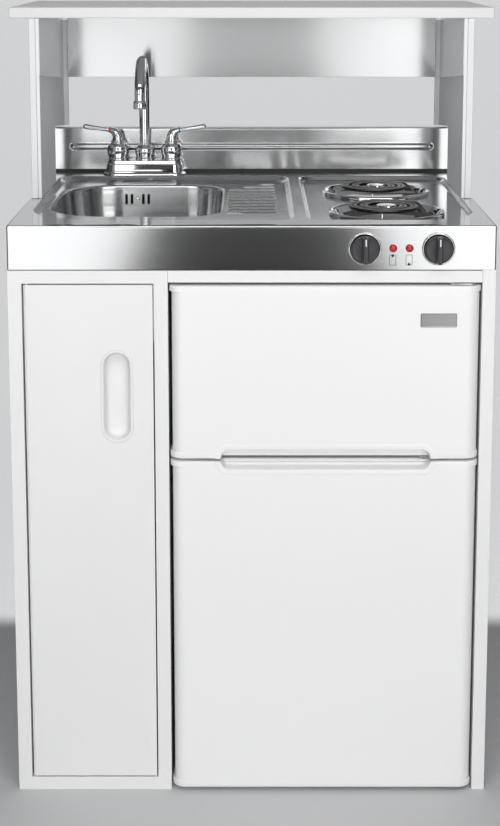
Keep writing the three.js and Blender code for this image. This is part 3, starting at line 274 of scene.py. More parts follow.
class Skin:
    """Surfaces that together make one mesh."""

    def __init__(self) -> None:
        """Starts with no surface."""
        self.points: list[Array] = []
        self.faces: list[list[int]] = []
        self.count = 0

    def grid(self, points: Array, closed: bool = True, keep: Array | None = None) -> "Skin":
        """Adds a surface of four-sided faces.

        Args:
            points: rows and columns of places.
            closed: True where the last column meets the first.
            keep: which faces stay, by row and column.

        Returns:
            The skin itself.
        """
        rows, cols = points.shape[:2]
        i, j = np.mgrid[0 : rows - 1, 0 : cols if closed else cols - 1]
        a, b = i * cols + j, i * cols + (j + 1) % cols
        quads = np.stack([a, b, b + cols, a + cols], axis=-1) + self.count
        quads = quads[keep] if keep is not None else quads.reshape(-1, 4)
        self.faces += quads.tolist()
        self.points.append(points.reshape(-1, 3))
        self.count += rows * cols
        return self

    def fill(self, *loops: Array) -> "Skin":
        """Fills the flat face inside the first loop and outside the others with triangles."""
        corners = [[Vector(p) for p in loop.tolist()] for loop in loops]
        self.faces += [[i + self.count for i in t] for t in tessellate_polygon(corners)]
        for loop in loops:
            self.points.append(loop)
            self.count += len(loop)
        return self

    def solid(self, rings: Array) -> "Skin":
        """Adds rings as a closed body with a flat face over each end."""
        self.grid(rings)
        return self.fill(rings[0]).fill(rings[-1])

    def object(self, name: str, facing: Triple | None = None, smooth: float = 40.0) -> Object:
        """Makes the mesh.

        Args:
            name: the object's name.
            facing: where an open sheet's outer side mostly looks; a closed body needs none.
            smooth: the sharpest bend, in degrees, that is shaded as round.

        Returns:
            The object, linked to the scene.
        """
        points = (np.vstack(self.points) + (0, FRONT_PLANE, 0)) * MM
        mesh = bpy.data.meshes.new(name)
        mesh.from_pydata(points.tolist(), [], self.faces)
        weld(mesh, facing)
        return shaded(name, mesh, smooth)

    def piece(
        self, name: str, finish: "Finish", body: str, *nodes: str, facing: Triple | None = None,
        smooth: float = 40.0, wall: float = 0.0, lay: tuple[Triple, Triple] | None = None,
    ) -> Object:
        """Makes the mesh, dresses it and ties it to what it moves with.

        Args:
            name: the piece's name.
            finish: its finish.
            body: the body that it rides on.
            nodes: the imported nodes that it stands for.
            facing: as in object().
            smooth: as in object().
            wall: a sheet's thickness, or 0 for a closed body.
            lay: the directions of U and V, where the brushing needs them.

        Returns:
            The piece.
        """
        obj = self.object(name, facing, smooth)
        if lay:
            map_strip(obj, *lay)
        if wall:
            thicken(obj, wall)
        return settle(obj, finish, body, *nodes)


def linked(name: str, data: bpy.types.ID) -> Object:
    """An object of the scene that holds the data."""
    obj = bpy.data.objects.new(name, data)
    bpy.context.scene.collection.objects.link(obj)
    return obj


def shaded(name: str, mesh: Mesh, smooth: float) -> Object:
    """A mesh as an object of the scene, shaded as round up to a bend in degrees."""
    mesh.shade_smooth()
    mesh.set_sharp_from_angle(angle=math.radians(smooth))
    return linked(name, mesh)


def read(items: bpy.types.bpy_prop_collection, key: str, kind: type, width: int = 1) -> Array:
    """One property of every item of a mesh.

    Args:
        items: the items.
        key: the property.
        kind: the type of its numbers.
        width: how many numbers each item has.

    Returns:
        One number, or one row of them, for each item.
    """
    values = np.empty(len(items) * width, kind)
    items.foreach_get(key, values)
    return values.reshape(-1, width) if width > 1 else values


def weld(mesh: Mesh, facing: Triple | None = None) -> None:
    """Joins doubled points, drops what has no area and turns the faces outwards.

    Args:
        mesh: the mesh to mend.
        facing: where an open sheet's outer side mostly looks.
    """
    bm = bmesh.new()
    bm.from_mesh(mesh)
    bmesh.ops.remove_doubles(bm, verts=bm.verts, dist=WELD)
    bmesh.ops.dissolve_degenerate(bm, edges=bm.edges, dist=WELD)
    bmesh.ops.recalc_face_normals(bm, faces=bm.faces)
    if facing is not None:
        look = sum((f.normal * f.calc_area() for f in bm.faces), Vector())
        if look.dot(Vector(facing)) < 0:
            bmesh.ops.reverse_faces(bm, faces=bm.faces)
    loose = [v for v in bm.verts if not v.link_faces]
    bmesh.ops.delete(bm, geom=loose, context="VERTS")
    bm.to_mesh(mesh)
    bm.free()


def thicken(obj: Object, thickness: float) -> Object:
    """Gives a sheet its thickness behind its outer side, with a crisp bend at its free edges."""
    mesh = obj.data
    free = np.bincount(read(mesh.loops, "edge_index", np.int32), minlength=len(mesh.edges)) == 1
    sharp = mesh.attributes.get("sharp_edge")
    sharp = sharp or mesh.attributes.new("sharp_edge", "BOOLEAN", "EDGE")
    sharp.data.foreach_set("value", read(sharp.data, "value", bool) | free)
    wall = obj.modifiers.new("wall", "SOLIDIFY")
    wall.thickness = thickness * MM
    wall.offset = -1
    wall.use_even_offset = True
    return obj


def ease(obj: Object, width: float, segments: int = 3) -> Object:
    """Rounds the sharp edges of a piece by a width in millimetres."""
    edge = obj.modifiers.new("edge", "BEVEL")
    edge.width = width * MM
    edge.segments = segments
    edge.limit_method = "ANGLE"
    edge.angle_limit = math.radians(SHARP)
    edge.use_clamp_overlap = True
    edge.harden_normals = True
    return obj


def lay_map(mesh: Mesh, uv: Array) -> None:
    """Writes the UV map that the brushing follows, one row for each corner of a face."""
    layer = mesh.uv_layers.get(LAY_MAP) or mesh.uv_layers.new(name=LAY_MAP)
    layer.data.foreach_set("uv", uv.astype(np.float32).ravel())


def map_strip(obj: Object, across: Triple, over: Triple) -> None:
    """Lays a piece's UV map as the two sums of its points with two directions.

    Args:
        obj: the piece.
        across: the direction of U, which the brushing follows.
        over: the direction of V.
    """
    mesh = obj.data
    uv = read(mesh.vertices, "co", np.float32, 3) @ np.array([across, over], np.float32).T
    lay_map(mesh, uv[read(mesh.loops, "vertex_index", np.int32)])


# ---- Finishes ----
def node_material(name: str) -> tuple[Material, Tree, Node]:
    """A new material, with its nodes and its shader."""
    material = bpy.data.materials.new(name)
    material.use_nodes = True
    return material, material.node_tree, material.node_tree.nodes["Principled BSDF"]


def feed(tree: Tree, node: Node, values: Inputs) -> None:
    """Sets the inputs of a node: a socket is linked, and anything else is written.

    Args:
        tree: the nodes that it belongs to.
        node: the node.
        values: what each input gets.
    """
    for key, value in values.items():
        if isinstance(value, Socket):
            tree.links.new(value, node.inputs[key])
        else:
            node.inputs[key].default_value = value


def add(tree: Tree, kind: str, values: Inputs) -> Node:
    """Adds a shader node of a kind, with its inputs set."""
    node = tree.nodes.new(f"ShaderNode{kind}")
    feed(tree, node, values)
    return node


class Grain(Enum):
    """How the small relief and the wandering of a finish lie."""

    BRUSHED = "lines along X"
    BRUSHED_BACK = "lines along Y"
    SPUN = "lines round a wall"
    ENAMEL = "soft orange peel"
    MOULDED = "fine moulded grain"
    POLISHED = "faint smears"
    OXIDE = "blotches and pits"
    CLEAR = "nearly none"


@dataclass(frozen=True)
class Lay:
    """The scales of one grain.

    Attributes:
        fine: scale of the relief.
        broad: scale of the wandering of colour and gloss.
        depth: height of the relief in millimetres.
        stretch: repeats along X, Y and Z, which multiply both scales.
    """

    fine: float
    broad: float
    depth: float
    stretch: Triple = (1.0, 1.0, 1.0)


LAYS = {
    Grain.BRUSHED: Lay(2200.0, 260.0, 0.0004, (0.004, 1.0, 1.0)),
    Grain.BRUSHED_BACK: Lay(2200.0, 260.0, 0.0004, (1.0, 0.004, 1.0)),
    Grain.SPUN: Lay(2000.0, 200.0, 0.003, (0.05, 0.05, 1.0)),
    Grain.ENAMEL: Lay(420.0, 9.0, 0.006),
    Grain.MOULDED: Lay(1400.0, 25.0, 0.03),
    Grain.POLISHED: Lay(60.0, 18.0, 0.004),
    Grain.OXIDE: Lay(900.0, 70.0, 0.06),
    Grain.CLEAR: Lay(30.0, 12.0, 0.002),
}


@dataclass(frozen=True)
class Finish:
    """The finish of a surface.

    Attributes:
        name: the material's name.
        slot: the record's material slot that it stands for; not used.
        light: the colour where it is lightest.
        dark: the colour where it is darkest.
        roughness: lowest and highest roughness.
        grain: how its relief lies.
        metallic: 1 for a bare metal.
        anisotropy: how far the gloss is drawn out across the brushing.
        coat: share of a clear coat.
        transmission: share of the light that passes.
    """

    name: str
    slot: str
    light: Triple
    dark: Triple
    roughness: Pair
    grain: Grain
    metallic: float = 0.0
    anisotropy: float = 0.0
    coat: float = 0.0
    transmission: float = 0.0

    def material(self) -> Material:
        """The finish as a material of nodes on Object coordinates, made once."""
        return bpy.data.materials.get(f"{self.name}_finish") or self._made()

    def _made(self) -> Material:
        """Builds the nodes: two noises give the colour, the roughness and the relief."""
        material, tree, shader = node_material(f"{self.name}_finish")
        lay = LAYS[self.grain]
        place = add(tree, "TexCoord", {}).outputs["Object"]
        place = add(tree, "Mapping", {"Scale": lay.stretch, "Vector": place}).outputs["Vector"]
        broad, fine = (
            add(tree, "TexNoise", {"Scale": scale, "Detail": detail, "Vector": place}).outputs["Fac"]
            for scale, detail in ((lay.broad, 5.0), (lay.fine, 2.0))
        )
        colour = add(tree, "ValToRGB", {"Fac": broad})
        for stop, share, tint in zip(colour.color_ramp.elements, RAMP_STOPS, (self.dark, self.light)):
            stop.position = share
            stop.color = (*tint, 1)
        low, high = self.roughness
        rough = add(tree, "MapRange", {"Value": broad, "From Min": NOISE_SPAN[0], "To Min": low,
                                       "From Max": NOISE_SPAN[1], "To Max": high})
        bump = add(tree, "Bump", {"Height": fine, "Strength": 1.0, "Distance": lay.depth * MM})
        feed(tree, shader, {
            "Base Color": colour.outputs["Color"], "Roughness": rough.outputs["Result"],
            "Normal": bump.outputs["Normal"], "Metallic": self.metallic,
            "Coat Weight": self.coat, "Coat Roughness": COAT_ROUGHNESS,
            "Transmission Weight": self.transmission,
        })
        if self.anisotropy:
            tangent = add(tree, "Tangent", {})
            tangent.direction_type = "UV_MAP"
            tangent.uv_map = LAY_MAP
            feed(tree, shader, {"Anisotropic": self.anisotropy, "Anisotropic Rotation": ACROSS,
                                "Tangent": tangent.outputs["Tangent"]})
        return material

    def dress(self, obj: Object) -> None:
        """Puts the finish on every face of a piece."""
        slots = obj.data.materials
        for i in range(len(slots)):
            slots[i] = self.material()
        if not slots:
            slots.append(self.material())


def cool(level: float, step: float = 0.005) -> Triple:
    """A grey whose green is one step above its red, and its blue two."""
    return (level, level + step, level + 2 * step)


STEEL = Finish("brushed_steel", "brushed_steel", cool(0.66), cool(0.645), (0.14, 0.16),
               Grain.BRUSHED, metallic=1.0, anisotropy=0.75)
WING_STEEL = Finish("wing_steel", "brushed_steel", cool(0.5), cool(0.485), (0.24, 0.27),
                    Grain.BRUSHED_BACK, metallic=1.0, anisotropy=0.6)
PANEL_STEEL = Finish("panel_steel", "brushed_steel", cool(0.6), cool(0.585), (0.14, 0.16),
                     Grain.BRUSHED, metallic=1.0, anisotropy=0.75)
PLATE_STEEL = Finish("plate_steel", "brushed_steel", cool(0.42), cool(0.4), (0.3, 0.34),
                     Grain.BRUSHED, metallic=1.0, anisotropy=0.5)
BOWL_STEEL = Finish("bowl_steel", "brushed_steel", cool(0.58), cool(0.55), (0.17, 0.21),
                    Grain.SPUN, metallic=1.0, anisotropy=0.75)
CHROME = Finish("chrome", "chrome", cool(0.86), cool(0.82), (0.03, 0.07), Grain.POLISHED, 1.0)
DRIP_CHROME = Finish("drip_bowl_chrome", "chrome", (0.84,) * 3, (0.72, 0.71, 0.7), (0.06, 0.14),
                     Grain.POLISHED, metallic=1.0)
SHEATH = Finish("coil_sheath", "coil_sheath", (0.1, 0.1, 0.103), (0.045, 0.045, 0.048), (0.26, 0.4),
                Grain.OXIDE, metallic=1.0)
ZINC = Finish("zinc_plate", "zinc_steel", cool(0.62, 0.01), cool(0.48, 0.01), (0.25, 0.4),
              Grain.OXIDE, metallic=1.0)
ENAMEL = Finish("white_enamel", "white_steel", (0.8,) * 3, (0.79,) * 3, (0.3, 0.34), Grain.ENAMEL)
DOOR_ENAMEL = Finish("door_enamel", "white_steel", (0.84,) * 3, (0.84,) * 3, (0.28, 0.28),
                     Grain.ENAMEL)
LINER = Finish("liner_plastic", "white_steel", cool(0.86), cool(0.84), (0.32, 0.42), Grain.ENAMEL)
COMPRESSOR_PAINT = Finish("compressor_paint", "compressor_black", (0.022, 0.022, 0.024),
                          (0.012, 0.012, 0.013), (0.35, 0.5), Grain.ENAMEL)
WHITE_PLASTIC = Finish("white_plastic", "white_plastic", (0.78,) * 3, (0.765,) * 3, (0.3, 0.4),
                       Grain.MOULDED)
GREY_PLASTIC = Finish("grey_plastic", "grey_plastic", (0.4, 0.43, 0.45), (0.37, 0.4, 0.42),
                      (0.4, 0.5), Grain.MOULDED)
DARK_GREY = Finish("dark_grey_plastic", "grey_plastic", (0.03, 0.031, 0.033), (0.024, 0.025, 0.027),
                   (0.4, 0.5), Grain.MOULDED)
# The side liners' grey is paler than the real plastic: painted light that makes up for the shade they
# stand in.
PAINTED_LIGHT_GREY = Finish("painted_light_grey_plastic", "grey_plastic", cool(0.86, 0.02), cool(0.84, 0.02),
                   (0.5, 0.6), Grain.MOULDED)
KNOB_PLASTIC = Finish("knob_plastic", "black_plastic", (0.05, 0.047, 0.052), (0.038, 0.035, 0.04),
                      (0.26, 0.36), Grain.MOULDED)
BLACK_PLASTIC = Finish("black_plastic", "black_plastic", (0.02, 0.02, 0.021), (0.014, 0.014, 0.015),
                       (0.35, 0.5), Grain.MOULDED)
GASKET = Finish("gasket_rubber", "gasket_rubber", (0.62, 0.62, 0.61), (0.56, 0.56, 0.55),
                (0.6, 0.75), Grain.MOULDED)
INK = Finish("printed_ink", "black_plastic", (0.02, 0.02, 0.022), (0.015, 0.015, 0.017),
             (0.5, 0.6), Grain.CLEAR)
GREY_INK = Finish("grey_ink", "grey_plastic", (0.16,) * 3, (0.14,) * 3, (0.5, 0.6), Grain.CLEAR)
PALE_INK = Finish("index_ink", "white_plastic", (0.8,) * 3, (0.75,) * 3, (0.4, 0.5), Grain.CLEAR)
RED_LENS = Finish("red_lens", "red_lens", (0.5, 0.012, 0.018), (0.4, 0.008, 0.012), (0.06, 0.1),
                  Grain.CLEAR, coat=0.6)
RED_MARK = Finish("hot_index", "red_lens", (0.75, 0.1, 0.1), (0.65, 0.07, 0.07), (0.25, 0.3),
                  Grain.CLEAR)
BLUE_MARK = Finish("cold_index", "chrome", (0.06, 0.26, 0.55), (0.04, 0.2, 0.46), (0.25, 0.3),
                   Grain.CLEAR)
GLASS = Finish("shelf_glass", "clear_glass", (0.86, 0.93, 0.91), (0.84, 0.92, 0.9), (0.02, 0.04),
               Grain.CLEAR, transmission=0.9)


def settle(obj: Object, finish: Finish, body: str, *nodes: str) -> Object:
    """Dresses a piece and ties it to what it moves with.

    Args:
        obj: the piece.
        finish: its finish.
        body: the body that it rides on.
        nodes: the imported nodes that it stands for.

    Returns:
        The piece.
    """
    finish.dress(obj)
    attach(obj, body)
    if nodes:
        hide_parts(*nodes)
    LOG.info("%s: %d faces on %s", obj.name, len(obj.data.polygons), body)
    return obj


def slope_notch(mesh: Mesh) -> None:
    """Slopes the level top of the notch at a shelf side's rear down to the backsplash."""
    co = read(mesh.vertices, "co", np.float32, 3)
    back = (co[:, 1] / MM - FRONT_PLANE - NOTCH_FRONT) / (SIDE_REAR - NOTCH_FRONT)
    level = np.abs(co[:, 2] / MM - NOTCH_HIGH) < 1
    co[:, 2] -= np.where(level, back * (NOTCH_HIGH - NOTCH_LOW) * MM, 0)
    mesh.vertices.foreach_set("co", co.ravel())


def eased_copy(node: str, name: str, width: float) -> Object:
    """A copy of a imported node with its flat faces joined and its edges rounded.

    Args:
        node: the node.
        name: the copy's name.
        width: the width of the rounding in millimetres.

    Returns:
        The copy.
    """
    mesh = frame["nodes"][node].data.copy()
    mesh.name = name
    mesh.materials.clear()
    weld(mesh)
    if node.endswith(("side_board", "side_liner")):
        slope_notch(mesh)
    bm = bmesh.new()
    bm.from_mesh(mesh)
    bmesh.ops.dissolve_limit(bm, angle_limit=math.radians(0.5), verts=bm.verts, edges=bm.edges)
    bm.to_mesh(mesh)
    bm.free()
    return ease(shaded(name, mesh, SHARP), width)


# ---- Worktop ----
@dataclass
class Worktop:
    """The pressed top with its skirts, two dishes, ribs and the bowl's rim."""

    edge: float = 3.0
    fascia_bottom: float = 868.5
    sink_dish: Rect = (-362.0, 72.0, 57.0, 567.0)
    sink_radii: Row = (112.0, 28.0, 30.0, 40.0)
    sink_run: float = 13.0
    sink_sides: Steps = (24, 200, 24, 24)
    hob_dish: Rect = (88.0, 362.0, 57.0, 567.0)
    hob_radii: Row = (28.0, 90.0, 40.0, 30.0)
    hob_run: float = 8.0
    corner: int = 12
    floor: float = TOP - 8.0
    flat: float = 1.5
    rim_radius: float = 6.0
    rim_outset: float = 5.0
    rib_y: tuple[float, float, int] = (175.0, 501.0, 11)
    rib_span: Pair = (-38.0, 39.0)
    rib_radius: float = 5.0
    rib_proud: float = 1.6
    burner_x: float = 222.0
    burner_y: Pair = (162.5, 395.0)
    burner_hole: float = 89.0

    def border(self) -> Array:
        """The rounded edge and the skirts, carried round the flat top's outline.

        The profile goes out r sin t and down r (1 − cos t), then straight down; at a corner only
        the outward direction turns. Each row starts with the front side.
        """
        r, t, corner = self.edge, np.linspace(0, QUARTER, 7), 5
        rect = (r - HALF, HALF - r, r, DEPTH - r)
        inset = np.concatenate([[self.flat], -r * np.sin(t), [-r, -r]])
        fall = np.concatenate([[0], r * (1 - np.cos(t)), [r + 2, TOP - self.fascia_bottom]])
        grid = carried(rect, 0, columns(inset, TOP - fall), corner, (24, 20, 24, 20))
        return np.roll(grid, -corner, axis=1)

    def dish_wall(self, run: float) -> Array:
        """Inset and level down a dish's wall: depth × (1 − cos πt) / 2, with a flat at each end."""
        inset = np.concatenate([[-self.flat], run * np.linspace(0, 1, 13), [run + self.flat]])
        fall = (1 - np.cos(math.pi * np.clip(inset / run, 0, 1))) / 2
        return columns(inset, TOP - (TOP - self.floor) * fall)

    def ribs(self, x: Array, y: Array) -> Array:
        """How far the drainboard's ribs stand up at each place."""
        from_rib = y[..., None] - np.linspace(*self.rib_y)
        rise = capsule_rise(x[..., None], from_rib, self.rib_span, self.rib_radius, self.rib_proud)
        return rise.max(axis=-1)

    def sink_floor(self, foot: Array, rim: Array) -> Array:
        """The sink dish's floor: straight lines from its foot to the bowl's rim, and the ribs."""
        plan = between(foot, rim, 60)
        level = self.floor + self.ribs(plan[..., 0], plan[..., 1])
        return np.concatenate([plan, level[..., None]], axis=-1)

    def rim(self, bowl: "Bowl") -> Array:
        """The rim's round fall into the bowl: a quarter circle, inset r sin a and down r (1 − cos a)."""
        a, r = np.linspace(0, QUARTER, 10), self.rim_radius
        inset = np.concatenate([[-self.flat], r * np.sin(a)]) - self.rim_outset
        level = np.concatenate([[self.floor], self.floor - r * (1 - np.cos(a))])
        profile = columns(inset, level)
        return carried(bowl.rect, bowl.radii, profile, self.corner, self.sink_sides)

    def build(self, bowl: "Bowl") -> None:
        """Makes the sheet and lays its brushing."""
        border, rim = self.border(), self.rim(bowl)
        sink = carried(self.sink_dish, self.sink_radii, self.dish_wall(self.sink_run), self.corner,
                       self.sink_sides)
        hob = carried(self.hob_dish, self.hob_radii, self.dish_wall(self.hob_run), self.corner,
                      (8,) * 4)
        skin = Skin().grid(border).grid(sink).grid(hob).grid(rim)
        skin.fill(border[0], sink[0], hob[0])
        skin.grid(self.sink_floor(sink[-1][:, :2], rim[0][:, :2]))
        hole = self.burner_hole
        lip = [(hole + 1.5, self.floor), (hole, self.floor), (hole - 0.5, self.floor - 2)]
        rings = [revolved(lip, (self.burner_x, y, 0), 64) for y in self.burner_y]
        for ring in rings:
            skin.grid(ring)
        skin.fill(hob[-1], *(ring[0] for ring in rings))
        skin.piece("worktop_sheet", STEEL, "cabinet", "worktop", facing=UP, wall=SHEET,
                   lay=ALONG_TOP)


@dataclass
class Bowl:
    """The drawn sink bowl, its overflow, its drain and its strainer."""

    rect: Rect = (-338.0, -52.0, 139.0, 500.0)
    radii: Row = (100.0, 66.0, 66.0, 100.0)
    depth: float = 94.0
    wall: float = 1.2
    drain: Pair = (-240.0, 319.0)
    drain_radius: float = 44.0
    overflow: Pair = (-211.0, 34.0)
    slots: Row = (-20.5, -10.5, 10.5, 20.5)
    slot_half: Pair = (2.3, 9.5)
    rear_band: float = 30.0
    screw_inset: float = 3.6
    sides: Steps = (24, 24, 240, 24)
    basket_steps: int = 120
    basket_floor: float = -123.5
    wall_slots: Pair = (-117.0, -102.0)
    base_slots: Pair = (12.0, 27.0)

    def profile(self) -> Array:
        """Inset and level down the wall and round into the floor."""
        upper = spline([(1, -14), (1.4, -18), (2.1, -23)], 4)
        slots = columns(np.linspace(2.1, 4.8, 49), np.linspace(-23, -47, 49))
        wall = [(4.8, -47), (6.8, -60), (10.4, -77), (17.5, -88), (28, -92.8), (40, -self.depth)]
        line = np.vstack([upper[:-1], slots[:-1], spline(wall, 10)])
        return columns(line[:, 0], TOP + line[:, 1])

    def open_faces(self, grid: Array) -> Array:
        """Which faces of the wall stay: those whose middle isn't in an overflow slot."""
        middle = (grid[:-1] + grid[1:]) / 2
        middle = (middle + np.roll(middle, -1, axis=1)) / 2
        x, z = middle[..., 0] - self.overflow[0], TOP - self.overflow[1] - middle[..., 2]
        half, rise = self.slot_half
        offset = x[..., None] - np.array(self.slots)
        reach = np.hypot(offset, z[..., None] - np.clip(z[..., None], half - rise, rise - half))
        rear = middle[..., 1] > self.rect[3] - self.rear_band
        return ~((reach < half).any(axis=-1) & rear)

    def floor(self, foot: Array) -> Array:
        """The floor: straight lines from the wall's foot to the drain's circle."""
        x, y = (foot - self.drain).T
        circle = np.array(self.drain) + self.drain_radius * unit(np.arctan2(y, x))
        plan = between(foot, circle, 8)
        level = np.full((*plan.shape[:2], 1), TOP - self.depth)
        return np.concatenate([plan, level], axis=-1)

    def build(self) -> None:
        """Makes the bowl with its overflow slots, the screw, the drain and the strainer."""
        wall = carried(self.rect, self.radii, self.profile(), 12, self.sides)
        skin = Skin().grid(wall, keep=self.open_faces(wall)).grid(self.floor(wall[-1][:, :2]))
        shell = skin.object("bowl_shell", facing=UP)
        self.map_round(shell.data)
        thicken(shell, self.wall)
        settle(shell, BOWL_STEEL, "cabinet", "sink_bowl")
        self.screw()
        centre = (*self.drain, TOP)
        self.drain_cup(centre)
        self.strainer(centre)

    def map_round(self, mesh: Mesh) -> None:
        """Lays the brushing round the bowl: U is the angle about its middle, V height plus reach."""
        co = read(mesh.vertices, "co", np.float32, 3)
        corners = read(mesh.loops, "vertex_index", np.int32)
        starts = read(mesh.polygons, "loop_start", np.int32)
        x, y, z = (co - [*co.mean(axis=0)[:2], 0]).T
        angle = np.arctan2(y, x)[corners]
        first = np.repeat(angle[starts], np.diff(np.append(starts, len(corners))))
        angle = first + (angle - first + math.pi) % TURN - math.pi
        lay_map(mesh, columns(angle, (z + np.hypot(x, y))[corners]))

    def screw(self) -> None:
        """The small domed screw between the overflow slots."""
        dome = spline([(0, 2.4), (1.6, 2.2), (3.2, 1.3), (4.0, 0.0)], 4)
        centre = (self.overflow[0], self.rect[3] - self.screw_inset, TOP - self.overflow[1])
        screw = Skin().grid(revolved(dome, centre, 24, True))
        screw.piece("overflow_screw", CHROME, "cabinet", facing=TO_USER)

    def drain_cup(self, centre: Triple) -> None:
        """The drain's flange and cup with its nut, all turned about one axis."""
        floor = 0.3 - self.depth
        flange = spline([(55, floor), (54.4, floor + 0.8), (52, floor + 1.5), (46, floor + 0.9)], 4)
        cup = [(43, floor - 0.5), (41.2, floor - 4), (39.5, -137), (36, -141), (17, -146)]
        outside = [(17, -165), (21, -165), (21, -149), (43, -142), (44, -110), (57, -109),
                   (58, -97), (43, -96), (43, floor - 0.2), (55, floor - 0.2), (55, floor)]
        drain = Skin().grid(revolved(np.vstack([flange, cup, outside]), centre, 72))
        drain.piece("drain_cup", CHROME, "cabinet", "drain_body")

    def strainer(self, centre: Triple) -> None:
        """The lift-out basket: a cup whose wall and base have slots, with a finger knob."""
        rim = 1.8 - self.depth
        line = spline([(44, rim), (43.6, rim + 0.9), (41, rim + 1), (38.5, rim - 0.5),
                       (37, -103), (36, -112), (34, -120), (29, self.basket_floor)], 6)
        base = columns(np.linspace(29, 8, 14)[1:], np.full(13, self.basket_floor))
        cup = revolved(np.vstack([line, base]), centre, self.basket_steps)
        column = np.arange(self.basket_steps)
        x, y, level = np.moveaxis(cup[:-1] - centre, -1, 0)
        reach = np.hypot(x, y)
        (low, high), (inner, outer) = self.wall_slots, self.base_slots
        wall = (level > low) & (level < high) & (column % 5 < 2)
        floor = (level < self.basket_floor + 0.1) & (reach > inner) & (reach < outer)
        floor &= column % 10 < 3
        skin = Skin().grid(cup, keep=~(wall | floor))
        skin.piece("strainer_cup", CHROME, "strainer_basket", "strainer_basket", facing=UP, wall=0.7)
        knob = [(8.4, -123.2), (5, -122), (4, -117), (4, -102), (6.5, -98.5), (9, -96.5),
                (9, -94.5), (6, -92.6), (0, -92.2)]
        handle = Skin().grid(revolved(spline(knob, 5), centre, 36))
        handle.piece("strainer_knob", CHROME, "strainer_basket", facing=UP)


@dataclass
class Backsplash:
    """The upstand behind the top, with its pressed bead."""

    front: float = 620.0
    bottom: float = 6.3
    height: float = 86.0
    fold: float = 2.5
    bead_z: float = 49.5
    bead_half: float = 341.0
    bead_radius: float = 8.5
    bead_proud: float = 3.2
    foot: float = 18.0
    back_edge: Row = (0.0, 2.0, 14.0)

    def build(self) -> None:
        """Makes the sheet: front face with the bead, a rounded top edge, and the returns behind."""
        r, fold, top = self.bead_radius, self.fold, self.height - self.fold
        ends = self.bead_half + r * np.sin(np.linspace(0, QUARTER, 12))
        x = np.unique(np.concatenate([-ends, ends, [-HALF, HALF], np.linspace(-330, 330, 23)]))
        bead = self.bead_z - r * np.cos(np.linspace(0, math.pi, 29))
        face = np.concatenate([[self.bottom], bead, np.linspace(self.bead_z + r + 1, top, 8)])
        t = np.linspace(0, QUARTER, 6)[1:]
        y = np.concatenate([[self.front + self.foot], np.full(len(face), self.front),
                            self.front + fold * (1 - np.cos(t)), [DEPTH - 2, DEPTH, DEPTH]])
        z = np.concatenate([[self.bottom], face, self.height - fold * (1 - np.sin(t)),
                            self.height - np.array(self.back_edge)])
        span = (-self.bead_half, self.bead_half)
        rise = capsule_rise(x[None, :], z[:, None] - self.bead_z, span, r, self.bead_proud)
        depth = y[:, None] - np.where((y == self.front)[:, None], rise, 0)
        points = np.stack(np.broadcast_arrays(x, depth, (TOP + z)[:, None]), axis=-1)
        sheet = Skin().grid(points, closed=False)
        sheet.piece("backsplash_sheet", STEEL, "cabinet", "backsplash", facing=TO_USER, wall=SHEET,
                    lay=((1, 0, 0), (0, 1, 1)))


